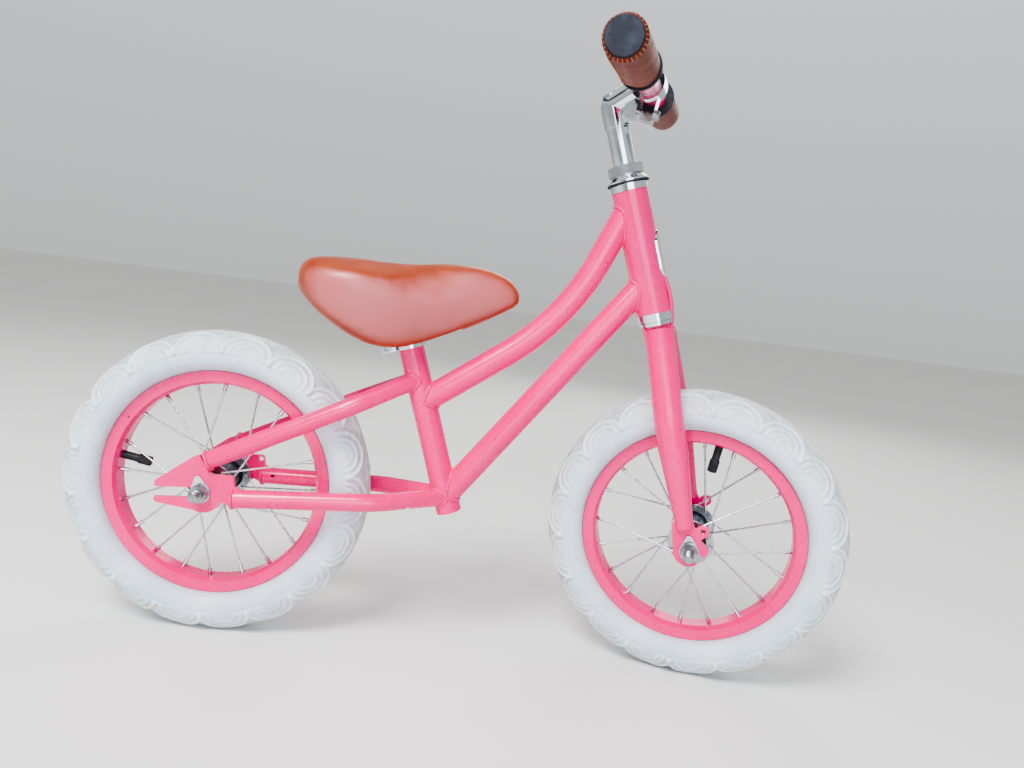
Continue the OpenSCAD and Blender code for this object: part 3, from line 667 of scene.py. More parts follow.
def basis(origin: Vector, along: Vector, out: Vector) -> Matrix:
    """Make a matrix with x along one direction and z close to another.

    Args:
        origin: the matrix's place.
        along: where x points.
        out: where z points, as far as it can.

    Returns:
        The matrix.
    """
    x = along.normalized()
    y = out.cross(x).normalized()
    z = x.cross(y)
    return Matrix.Translation(origin) @ Matrix((x, y, z)).transposed().to_4x4()


def rope(name: str, path: Sequence[Vector], radius: Callable[[int], float], sides: int = 8):
    """Lay a closed round bead along a closed path.

    Args:
        name: the object's name.
        path: the points of the closed path.
        radius: gives the bead's radius at each point.
        sides: how many sides the bead has.

    Returns:
        The bead's object.
    """
    bpy.ops.object.select_all(action="DESELECT")
    bpy.ops.mesh.primitive_torus_add(
        major_segments=len(path), minor_segments=sides, major_radius=1.0, minor_radius=0.2
    )
    obj = added(name)
    count = len(path)
    centre = sum(path, Vector()) / count
    points = np.empty((count * sides, 3))
    for i, point in enumerate(path):
        tangent = (path[(i + 1) % count] - path[i - 1]).normalized()
        out = (point - centre).normalized()
        side = tangent.cross(out).normalized()
        out = side.cross(tangent)
        for j in range(sides):
            turn = 2 * math.pi * j / sides
            spot = point + radius(i) * (math.cos(turn) * out + math.sin(turn) * side)
            points[i * sides + j] = spot
    set_points(obj, points)
    face_out(obj)
    smooth(obj, 60)
    return obj


def dress_node(name: str, material: bpy.types.Material) -> None:
    """Give one CAD part its finish.

    Args:
        name: the node's name.
        material: its finish.
    """
    obj = frame["nodes"][name]
    obj.data.materials.clear()
    obj.data.materials.append(material)


# ---------------------------------------------------------------- wheels


@dataclass
class Tyre:
    """A fat moulded tyre with petal ribs on its shoulders and a blocked tread.

    All sizes are in millimetres, in the wheel's own frame, with the axle along y.
    """

    outer_r: float = 151.0
    width: float = 50.0
    wall: float = 3.5
    foot_r: float = 105.3
    foot_y: float = 10.8
    corner_r: float = 13.5
    petals: int = 18
    petal_foot: float = 77.0
    petal_top: float = 27.0
    rib_h: float = 2.2
    rib_w: float = 1.35
    ring_groove: float = 82.5
    tread_edge: float = 23.0
    tread_steps: int = 72

    def section(self) -> list[tuple[float, float]]:
        """Return the closed outline as radius and side, from one foot over the crown to the other."""
        half = self.width / 2
        mid = self.outer_r - half
        shoulder = half - self.corner_r
        crown = 54
        outer: list[tuple[float, float]] = []
        for i in range(crown + 1):
            turn = math.radians(90 * i / crown)
            outer.append((mid + half * math.cos(turn), half * math.sin(turn)))
        for i in range(1, 9):
            turn = math.radians(90 + 90 * i / 8)
            outer.append((mid + self.corner_r * math.cos(turn), shoulder + self.corner_r * math.sin(turn)))
        outer.append((mid - self.corner_r, self.foot_y))
        outer.append((self.foot_r, self.foot_y))
        inner: list[tuple[float, float]] = [(self.foot_r, self.foot_y - 3)]
        inner_r = half - self.wall
        corner = self.corner_r - self.wall
        for i in range(5):
            turn = math.radians(180 - 90 * i / 4)
            inner.append((mid + corner * math.cos(turn), shoulder + corner * math.sin(turn)))
        for i in range(1, 7):
            turn = math.radians(90 - 15 * i)
            inner.append((mid + inner_r * math.cos(turn), inner_r * math.sin(turn)))
        half_loop = outer + inner
        other = [(r, -y) for r, y in reversed(half_loop) if y > 1e-6]
        return half_loop + other

    def relief(self, around: np.ndarray, over: np.ndarray) -> np.ndarray:
        """Give the height of the moulded pattern.

        Args:
            around: the angle round the wheel, in degrees.
            over: the angle from the crown to the side, in degrees, from 0 to 90.

        Returns:
            The height above the plain surface, in millimetres.
        """
        pitch = 360 / self.petals
        phase = (around + pitch / 2) % pitch - pitch / 2
        rise = np.clip((self.petal_foot - over) / (self.petal_foot - self.petal_top), 0, None)
        inside = over < self.petal_foot + 1
        height = np.zeros_like(over)
        for share, ribs in ((1.0, self.rib_h), (0.72, self.rib_h * 0.7), (0.46, self.rib_h * 0.5)):
            level = np.sqrt((phase / (pitch / 2 * share)) ** 2 + (rise / share) ** 2)
            gap = np.abs(level - 1) * 21 * share
            height += np.where(inside, ribs * np.exp(-((gap / self.rib_w) ** 2)), 0)
        fan = np.abs(np.abs(phase) - pitch / 2)
        cusp = np.exp(-((fan / 1.1) ** 2)) * np.exp(-(((over - self.petal_foot + 7) / 7) ** 2))
        height += np.where(inside, 0.8 * self.rib_h * cusp, 0)
        # the crown carries low blocks, cut by slanting grooves
        slant = (around + over * 0.35) % (360 / self.tread_steps)
        block = np.clip((self.tread_edge - over) / 4, 0, 1)
        cut = np.exp(-(((slant - 180 / self.tread_steps) / 0.55) ** 2))
        height += block * (0.7 - 1.3 * cut)
        height -= 0.8 * np.exp(-(((over - self.ring_groove) / 0.9) ** 2))
        return height

    def build(self, name: str, place: Place) -> bpy.types.Object:
        """Spin the section round the axle and raise the moulded pattern.

        Args:
            name: the piece's name.
            place: the wheel's local frame.

        Returns:
            The tyre, with its place in its mesh.
        """
        outline = self.section()
        steps = 630
        bpy.ops.object.select_all(action="DESELECT")
        bpy.ops.mesh.primitive_circle_add(vertices=len(outline), radius=1.0)
        obj = added(name)
        set_points(obj, np.array([(r * MM, y * MM, 0.0) for r, y in outline]))
        bpy.ops.object.mode_set(mode="EDIT")
        bpy.ops.mesh.select_all(action="SELECT")
        bpy.ops.mesh.spin(
            steps=steps, angle=2 * math.pi, center=(0.0, 0.0, 0.0), axis=(0.0, 1.0, 0.0)
        )
        bpy.ops.object.mode_set(mode="OBJECT")
        face_out(obj)
        points = points_of(obj) / MM
        radius = np.hypot(points[:, 0], points[:, 2])
        side = points[:, 1]
        half = self.width / 2
        mid = self.outer_r - half
        over = np.degrees(np.arctan2(np.abs(side), radius - mid))
        skin = (np.hypot(side, radius - mid) > half - 0.4) & (radius > mid - 1)
        around = np.degrees(np.arctan2(points[:, 2], points[:, 0]))
        # the pattern of one side stands half a petal ahead of the other
        around = around + np.where(side > 0, 180 / self.petals, 0)
        lift = np.where(skin, self.relief(around, over), 0)
        turn = np.radians(over)
        new_r = radius + lift * np.cos(turn)
        points[:, 0] *= new_r / radius
        points[:, 2] *= new_r / radius
        points[:, 1] += np.sign(side) * lift * np.sin(turn)
        # a thin moulded line stands just outside the rim
        line = np.exp(-(((radius - 114.4) / 0.55) ** 2)) * (np.abs(side) > 13.5)
        points[:, 1] += np.sign(side) * 0.7 * line
        set_points(obj, points * MM)
        # the raised ribs are painted lighter than the hollows beside them, a painted highlight and painted
        # shade, so each point carries how high it lies
        raised = obj.data.attributes.new("raised", "FLOAT", "POINT")
        raised.data.foreach_set("value", np.clip(lift / self.rib_h, 0, 1))
        put(obj, place.matrix())
        smooth(obj, 60)
        return obj


@dataclass
class ValveCap:
    """A ribbed screw cap on the end of a valve stem. Sizes are in millimetres."""

    tip_r: float = 71.8
    radius: float = 4.9
    length: float = 13.0
    ribs: int = 14

    def build(self, name: str, place: Place, degrees: float) -> bpy.types.Object:
        """Shape the cap on its stem.

        Args:
            name: the piece's name.
            place: the wheel's local frame.
            degrees: the stem's angle round the axle, from x towards -z.

        Returns:
            The cap.
        """
        bpy.ops.object.select_all(action="DESELECT")
        bpy.ops.mesh.primitive_cylinder_add(
            vertices=self.ribs * 4, radius=self.radius * MM, depth=self.length * MM
        )
        obj = added(name)
        points = points_of(obj)
        turn = np.arctan2(points[:, 1], points[:, 0])
        share = 1 - 0.07 * (0.5 - 0.5 * np.cos(turn * self.ribs))
        points[:, 0] *= share
        points[:, 1] *= share
        set_points(obj, points)
        modify(obj, "BEVEL", width=0.9 * MM, segments=3, limit_method="ANGLE", angle_limit=math.radians(60))
        angle = math.radians(degrees)
        out = place.x * math.cos(angle) - place.z * math.sin(angle)
        middle = place.origin + out * (self.tip_r - 2.0 + self.length / 2) * MM
        put(obj, basis(middle, place.y, out))
        smooth(obj, 35)
        return obj


@dataclass
class AxleThread:
    """The rolled thread on the free end of an axle. Sizes are in millimetres."""

    core_r: float = 4.6
    crest: float = 0.45
    pitch: float = 1.1
    start: float = 61.9
    turns: int = 8

    def build(self, name: str, place: Place) -> bpy.types.Object:
        """Wind one crest along each end of the axle.

        Args:
            name: the piece's name.
            place: the wheel's local frame.

        Returns:
            One object with both threads.
        """
        bpy.ops.object.select_all(action="DESELECT")
        bpy.ops.mesh.primitive_circle_add(vertices=3, radius=self.crest * MM, fill_type="NGON")
        obj = added(name)
        peak = (self.core_r + self.crest, self.pitch * 0.42)
        crest = [(self.core_r, 0.0), peak, (self.core_r, self.pitch * 0.84)]
        set_points(obj, np.array([(r * MM, 0.0, z * MM) for r, z in crest]))
        modify(
            obj,
            "SCREW",
            axis="Z",
            angle=2 * math.pi,
            screw_offset=self.pitch * MM,
            iterations=self.turns,
            steps=24,
            render_steps=24,
            use_normal_calculate=True,
        )
        left = Matrix.Translation(place.origin + place.y * self.start * MM)
        right = Matrix.Translation(place.origin - place.y * self.start * MM)
        turn = Matrix((place.x, -place.z, place.y)).transposed().to_4x4()
        turn_back = Matrix((place.x, place.z, -place.y)).transposed().to_4x4()
        pair = scatter(name + "_pair", obj, [left @ turn, right @ turn_back])
        face_out(pair)
        smooth(pair, 50)
        return pair


@dataclass
class Wheel:
    """One wheel: its dressed metal parts, its shaped tyre and its valve cap."""

    which: str
    place: Place
    body: Body
    axle_body: Body
    valve_degrees: float

    def dress(self, finishes: dict[str, bpy.types.Material]) -> None:
        """Give the wheel's CAD parts their finishes."""
        rubber = finishes["black_rubber"]
        dress_node(f"{self.which}_inner_tube", rubber)
        dress_node(f"{self.which}_rim", finishes["enamel"])
        dress_node(f"{self.which}_spokes", finishes["wire"])
        dress_node(f"{self.which}_hub_balls", finishes["zinc"])
        hub = HubMetal(f"plated_hub_{self.which}", self.place).make()
        dress_node(f"{self.which}_hub_shell", hub)
        for part in ("axle", "cones", "axle_nuts"):
            dress_node(f"{self.which}_{part}", finishes["zinc"])
        dress_node(f"{self.which}_tab_washers", finishes["chrome"])

    def build(self, finishes: dict[str, bpy.types.Material]) -> None:
        """Shape and dress everything on this wheel."""
        self.dress(finishes)
        rubber = PaleRubber(f"moulded_rubber_{self.which}", self.place).make()
        tyre = Tyre().build(f"tyre_{self.which}", self.place)
        finish_piece(tyre, rubber, self.body, [f"{self.which}_tyre"])
        cap = ValveCap().build(f"valve_cap_{self.which}", self.place, self.valve_degrees)
        finish_piece(cap, finishes["black_rubber"], self.body)
        thread = AxleThread().build(f"axle_thread_{self.which}", self.place)
        finish_piece(thread, finishes["zinc"], self.axle_body)


# ---------------------------------------------------------------- frame and fork welds


@dataclass(frozen=True)
class Tube:
    """A straight end of a tube: a point on its axis, where it runs and its radius, in metres."""

    point: Vector
    along: Vector
    radius: float

    def round(self, turn: float) -> tuple[Vector, Vector]:
        """Return the point and the outward direction at one angle round the tube."""
        side = self.along.orthogonal().normalized()
        other = self.along.cross(side)
        out = math.cos(turn) * side + math.sin(turn) * other
        return self.point + self.radius * out, out

    def leaves(self, turn: float, other: "Tube") -> Vector:
        """Find where a line along this tube's skin comes out of another tube.

        Args:
            turn: the line's angle round this tube.
            other: the tube that it starts in.

        Returns:
            The point on both skins, or the nearest one when the line only passes by.
        """
        start, _ = self.round(turn)
        gap = start - other.point
        gap -= gap.dot(other.along) * other.along
        run = self.along - self.along.dot(other.along) * other.along
        a = run.dot(run)
        b = gap.dot(run)
        c = gap.dot(gap) - other.radius**2
        root = max(b * b - a * c, 0.0)
        return start + self.along * ((-b + math.sqrt(root)) / a)


@dataclass
class WeldBead:
    """A small fillet of overlapping weld pools under the paint. Sizes are in millimetres."""

    radius: float = 1.7
    pool: float = 3.2
    ripple: float = 0.14
    points: int = 120

    def build(self, name: str, path: Sequence[Vector]) -> bpy.types.Object:
        """Lay the bead along a closed path.

        Args:
            name: the piece's name.
            path: the closed path.

        Returns:
            The bead.
        """
        run = sum((path[i] - path[i - 1]).length for i in range(len(path)))
        pools = max(8, round(run / (self.pool * MM)))

        def swell(i: int) -> float:
            """Return the bead's radius at one point, in metres."""
            wave = abs(math.sin(math.pi * pools * i / len(path)))
            drift = math.sin(5.1 * i / len(path) * 2 * math.pi)
            return self.radius * MM * (1 - self.ripple + self.ripple * 1.6 * wave + 0.06 * drift)

        return rope(name, path, swell)

    def between(self, name: str, tube: Tube, other: Tube) -> bpy.types.Object:
        """Lay the bead where one tube meets another."""
        turns = [2 * math.pi * i / self.points for i in range(self.points)]
        return self.build(name, [tube.leaves(t, other) for t in turns])

    def around(self, name: str, tube: Tube) -> bpy.types.Object:
        """Lay the bead round a tube's end."""
        turns = [2 * math.pi * i / self.points for i in range(self.points)]
        return self.build(name, [tube.round(t)[0] for t in turns])


@dataclass
class FrameAndFork:
    """The painted frame and fork: finishes for their parts and beads at their joints.

    The sizes repeat those of the frame, in millimetres.
    """

    tube_r: float = 12.7
    seat_r: float = 12.8
    head_r: float = 17.5
    stay_r: float = 8.75
    blade_r: float = 14.3
    crown_r: float = 14.6
    down_on_seat: float = 17.0
    chain_on_seat: float = 16.0
    top_on_seat: float = 116.0
    stay_on_seat: float = 139.0
    down_on_head: float = 265.0
    top_on_head: float = 343.0
    stay_meet: float = 3.8
    stay_knee: float = 38.75
    chain_knee_x: float = 161.0
    chain_knee_z: float = 5.0
    upper_knee_share: float = 0.7
    blade_top_x: float = 3.0
    blade_top_y: float = 13.0
    blade_top_h: float = 213.0
    blade_knee_x: float = -1.5
    blade_knee_y: float = 43.8
    blade_knee_h: float = 131.0
    plate_y: float = 49.5
    steer_point_h: float = 300.0
    top_slope: float = 36.7
    top_rise: float = 68.0

    def seat_at(self, t: float) -> Vector:
        """Return the point of the seat tube's axis at a height along it."""
        return SEAT_FOOT + SEAT_AXIS * t * MM

    def head_at(self, h: float) -> Vector:
        """Return the point of the steering axis at a height along it."""
        return STEER_POINT + STEER_AXIS * (h - self.steer_point_h) * MM

    def fork_at(self, x: float, y: float, h: float) -> Vector:
        """Return a point of the turned steering, forward, left and up its axis."""
        forward = AXLE_TURNED.cross(STEER_AXIS)
        return self.head_at(h) + forward * x * MM + AXLE_TURNED * y * MM

    def sloping(self, degrees: float) -> Vector:
        """Return the direction that rises forwards by an angle."""
        angle = math.radians(degrees)
        return Vector((math.cos(angle), 0.0, math.sin(angle)))

    def beside_seat(self, t: float, side: int) -> Vector:
        """Return where a stay's axis ends beside the seat tube's, at a height along it."""
        return self.seat_at(t) + Vector((0, side * self.stay_meet * MM, 0))

    def chain_knee_at(self, side: int) -> Vector:
        """Return the point where a chain stay bends."""
        return REAR_AXLE + Vector((self.chain_knee_x, side * self.stay_knee, self.chain_knee_z)) * MM

    def upper_knee_at(self, start: Vector, side: int) -> Vector:
        """Return the point where a seat stay that starts at its dropout bends."""
        knee = start + self.upper_knee_share * (self.beside_seat(self.stay_on_seat, side) - start)
        knee.y = side * self.stay_knee * MM
        return knee

    def stay(self, start: Vector, towards: Vector) -> Tube:
        """Return the straight end of a stay, from one point towards another."""
        return Tube(start, (towards - start).normalized(), self.stay_r * MM)

    def joints(self) -> list[tuple[str, Body, Tube, Tube]]:
        """List each tube end with the tube that it is welded to."""
        seat = Tube(self.seat_at(0), SEAT_AXIS, self.seat_r * MM)
        head = Tube(self.head_at(0), STEER_AXIS, self.head_r * MM)
        tube_r = self.tube_r * MM
        low = self.seat_at(self.down_on_seat)
        high = self.head_at(self.down_on_head)
        down = (high - low).normalized()
        top_low = self.seat_at(self.top_on_seat)
        top_high = self.head_at(self.top_on_head)
        found = [
            ("weld_down_seat", Body.FRAME, Tube(low, down, tube_r), seat),
            ("weld_down_head", Body.FRAME, Tube(high, -down, tube_r), head),
            ("weld_top_seat", Body.FRAME, Tube(top_low, self.sloping(self.top_slope), tube_r), seat),
            ("weld_top_head", Body.FRAME, Tube(top_high, -self.sloping(self.top_rise), tube_r), head),
        ]
        crown = Tube(self.head_at(0), STEER_AXIS, self.crown_r * MM)
        for side, word in ((1, "left"), (-1, "right")):
            chain = self.beside_seat(self.chain_on_seat, side)
            stay = self.stay(chain, self.chain_knee_at(side))
            found.append((f"weld_chain_stay_{word}", Body.FRAME, stay, seat))
            start = REAR_AXLE + Vector((4, side * self.plate_y, 31)) * MM
            upper = self.beside_seat(self.stay_on_seat, side)
            stay = self.stay(upper, self.upper_knee_at(start, side))
            found.append((f"weld_seat_stay_{word}", Body.FRAME, stay, seat))
            blade = self.fork_at(self.blade_top_x, side * self.blade_top_y, self.blade_top_h)
            knee = self.fork_at(self.blade_knee_x, side * self.blade_knee_y, self.blade_knee_h)
            tube = Tube(blade, (knee - blade).normalized(), self.blade_r * MM)
            found.append((f"weld_blade_{word}", Body.FORK, tube, crown))
        return found

    def ends(self) -> list[tuple[str, Body, Tube]]:
        """List each stay end that is welded to a dropout plate."""
        found = []
        for side, word in ((1, "left"), (-1, "right")):
            start = REAR_AXLE + Vector((29.3, side * self.plate_y, -3)) * MM
            tube = self.stay(start, self.chain_knee_at(side))
            found.append((f"weld_end_chain_{word}", Body.FRAME, tube))
            start = REAR_AXLE + Vector((4.3, side * self.plate_y, 31.2)) * MM
            tube = self.stay(start, self.upper_knee_at(start, side))
            found.append((f"weld_end_seat_{word}", Body.FRAME, tube))
        return found

    def build(self, finishes: dict[str, bpy.types.Material]) -> None:
        """Dress the frame and the fork and lay every bead."""
        painted = [
            "head_tube", "top_tube", "down_tube", "seat_tube", "chain_stay_left", "chain_stay_right",
            "seat_stay_left", "seat_stay_right", "rear_dropout_left", "rear_dropout_right",
            "fork_steerer", "fork_blade_left", "fork_blade_right", "fork_end_left", "fork_end_right",
        ]
        bright = [
            "head_badge", "seat_clamp", "headset_upper_cup", "headset_lower_cup", "crown_race",
            "headset_top_race", "headset_lock_nut",
        ]
        for name in painted:
            dress_node(name, finishes["enamel"])
        for name in bright:
            dress_node(name, finishes["chrome"])
        for name in ("seat_clamp_bolt", "headset_balls", "headset_washer"):
            dress_node(name, finishes["zinc"])
        dress_node("headset_seal", finishes["black_rubber"])
        bead = WeldBead()
        for name, body, tube, other in self.joints():
            finish_piece(bead.between(name, tube, other), finishes["enamel"], body)
        for name, body, tube in self.ends():
            finish_piece(bead.around(name, tube), finishes["enamel"], body)


# ---------------------------------------------------------------- handlebar and stem


@dataclass
class Grip:
    """A leather sleeve sewn round the bar, laced along its seam and round its end.

    Sizes are in millimetres, in the bar's own frame, with the bar along y.
    """

    bar_r: float = 11.3
    radius: float = 18.3
    start: float = 75.2
    end: float = 176.8
    swell: float = 0.35
    seam_gap: float = 1.1
    lip: float = 0.8
    stitch_pitch: float = 4.2
    stitch_len: float = 5.2
    thread_r: float = 0.42
    rim_stitches: int = 30

    def sleeve(self, name: str, side: int, seam: float, place: Place) -> bpy.types.Object:
        """Shape the sleeve with its two raised seam lips.

        Args:
            name: the piece's name.
            side: 1 for the left grip or -1 for the right one.
            seam: the seam's angle round the bar, in radians.
            place: the bar's local frame.

        Returns:
            The sleeve.
        """
        outline: list[tuple[float, float]] = []
        length = self.end - self.start
        steps = 44
        for i in range(steps + 1):
            t = i / steps
            bulge = self.swell * math.sin(math.pi * t)
            ends = min(t, 1 - t) * length
            rolled = 1.6 * (1 - min(ends / 1.6, 1.0)) ** 2
            outline.append((self.radius + bulge - self.swell - rolled, self.start + t * length))
        outline.append((self.bar_r + 2.0, self.end - 0.2))
        outline.append((self.bar_r, self.end - 1.4))
        outline.append((self.bar_r, self.start + 1.4))
        outline.append((self.bar_r + 2.0, self.start + 0.2))
        bpy.ops.object.select_all(action="DESELECT")
        bpy.ops.mesh.primitive_circle_add(vertices=len(outline), radius=1.0)
        obj = added(name)
        set_points(obj, np.array([(r * MM, side * y * MM, 0.0) for r, y in outline]))
        bpy.ops.object.mode_set(mode="EDIT")
        bpy.ops.mesh.select_all(action="SELECT")
        bpy.ops.mesh.spin(steps=240, angle=2 * math.pi, center=(0, 0, 0), axis=(0, 1, 0))
        bpy.ops.object.mode_set(mode="OBJECT")
        face_out(obj)
        points = points_of(obj) / MM
        radius = np.hypot(points[:, 0], points[:, 2])
        turn = np.arctan2(points[:, 2], points[:, 0])
        off = (turn - seam + math.pi) % (2 * math.pi) - math.pi
        arc = off * self.radius
        skin = np.clip((radius - self.bar_r - 3) / 2, 0, 1)
        lips = self.lip * np.exp(-(((np.abs(arc) - 2.2) / 1.1) ** 2))
        groove = 1.1 * np.exp(-((arc / (self.seam_gap * 0.7)) ** 2))
        along = np.abs(points[:, 1])
        pull = 0.12 * np.cos(2 * math.pi * along / self.stitch_pitch) * np.exp(-((arc / 4.5) ** 2))
        soft = 0.18 * np.sin(along * 0.23 + 3 * turn) * np.sin(2 * turn + along * 0.05)
        new_r = radius + skin * (lips - groove + pull + soft * 0.8 - 0.3)
        points[:, 0] *= new_r / radius
        points[:, 2] *= new_r / radius
        set_points(obj, points * MM)
        put(obj, place.matrix())
        smooth(obj, 50)
        return obj

    def stitches(self, name: str, side: int, seam: float, place: Place) -> bpy.types.Object:
        """Lace thread across the seam and round the outer end.

        Args:
            name: the piece's name.
            side: 1 for the left grip or -1 for the right one.
            seam: the seam's angle round the bar, in radians.
            place: the bar's local frame.

        Returns:
            The thread.
        """
        bpy.ops.object.select_all(action="DESELECT")
        bpy.ops.mesh.primitive_uv_sphere_add(segments=8, ring_count=6, radius=1.0)
        bit = added("stitch")
        size = np.array((self.stitch_len / 2, self.thread_r, self.thread_r)) * MM
        set_points(bit, points_of(bit) * size)
        matrices = []
        count = int((self.end - self.start - 8) / self.stitch_pitch)
        for i in range(count):
            y = side * (self.start + 5 + i * self.stitch_pitch)
            out = Vector((math.cos(seam), 0, math.sin(seam)))
            across = Vector((-math.sin(seam), side * 0.45, math.cos(seam)))
            spot = Vector((0, y, 0)) + out * (self.radius + 0.45)
            matrices.append(place.matrix() @ basis(spot * MM, across, out))
        for i in range(self.rim_stitches):
            turn = 2 * math.pi * i / self.rim_stitches
            out = Vector((math.cos(turn), 0, math.sin(turn)))
            spot = out * (self.radius - 1.2) + Vector((0, side * (self.end - 0.9), 0))
            over = (out * 0.8 + Vector((0, -side * 1.0, 0))).normalized()
            up = (out + Vector((0, side * 1.0, 0))).normalized()
            matrices.append(place.matrix() @ basis(spot * MM, over, up))
        obj = scatter(name, bit, matrices)
        smooth(obj, 80)
        return obj

    def build(self, finishes: dict[str, bpy.types.Material]) -> None:
        """Build and dress both grips."""
        for side, word, seam in ((1, "left", math.radians(200)), (-1, "right", math.radians(215))):
            sleeve = self.sleeve(f"grip_sleeve_{word}", side, seam, BAR_PLACE)
            finish_piece(sleeve, finishes["grip"], Body.HANDLEBAR, [f"grip_{word}"])
            lace = self.stitches(f"grip_lace_{word}", side, seam, BAR_PLACE)
            finish_piece(lace, finishes["lace"], Body.HANDLEBAR)


@dataclass
class Cockpit:
    """The stem and the handlebar: chrome casting, painted bar and black trims."""

    def build(self, finishes: dict[str, bpy.types.Material]) -> None:
        """Dress the stem and the bar, and add the sewn grips."""
        dress_node("stem", finishes["chrome"])
        for name in ("stem_bolt", "stem_wedge", "bar_clamp_bolt"):
            dress_node(name, finishes["zinc"])
        dress_node("handlebar", finishes["enamel"])
        dress_node("grip_rings", finishes["black_rubber"])
        dress_node("grip_plugs", finishes["slate_plastic"])
        Grip().build(finishes)


# ---------------------------------------------------------------- saddle


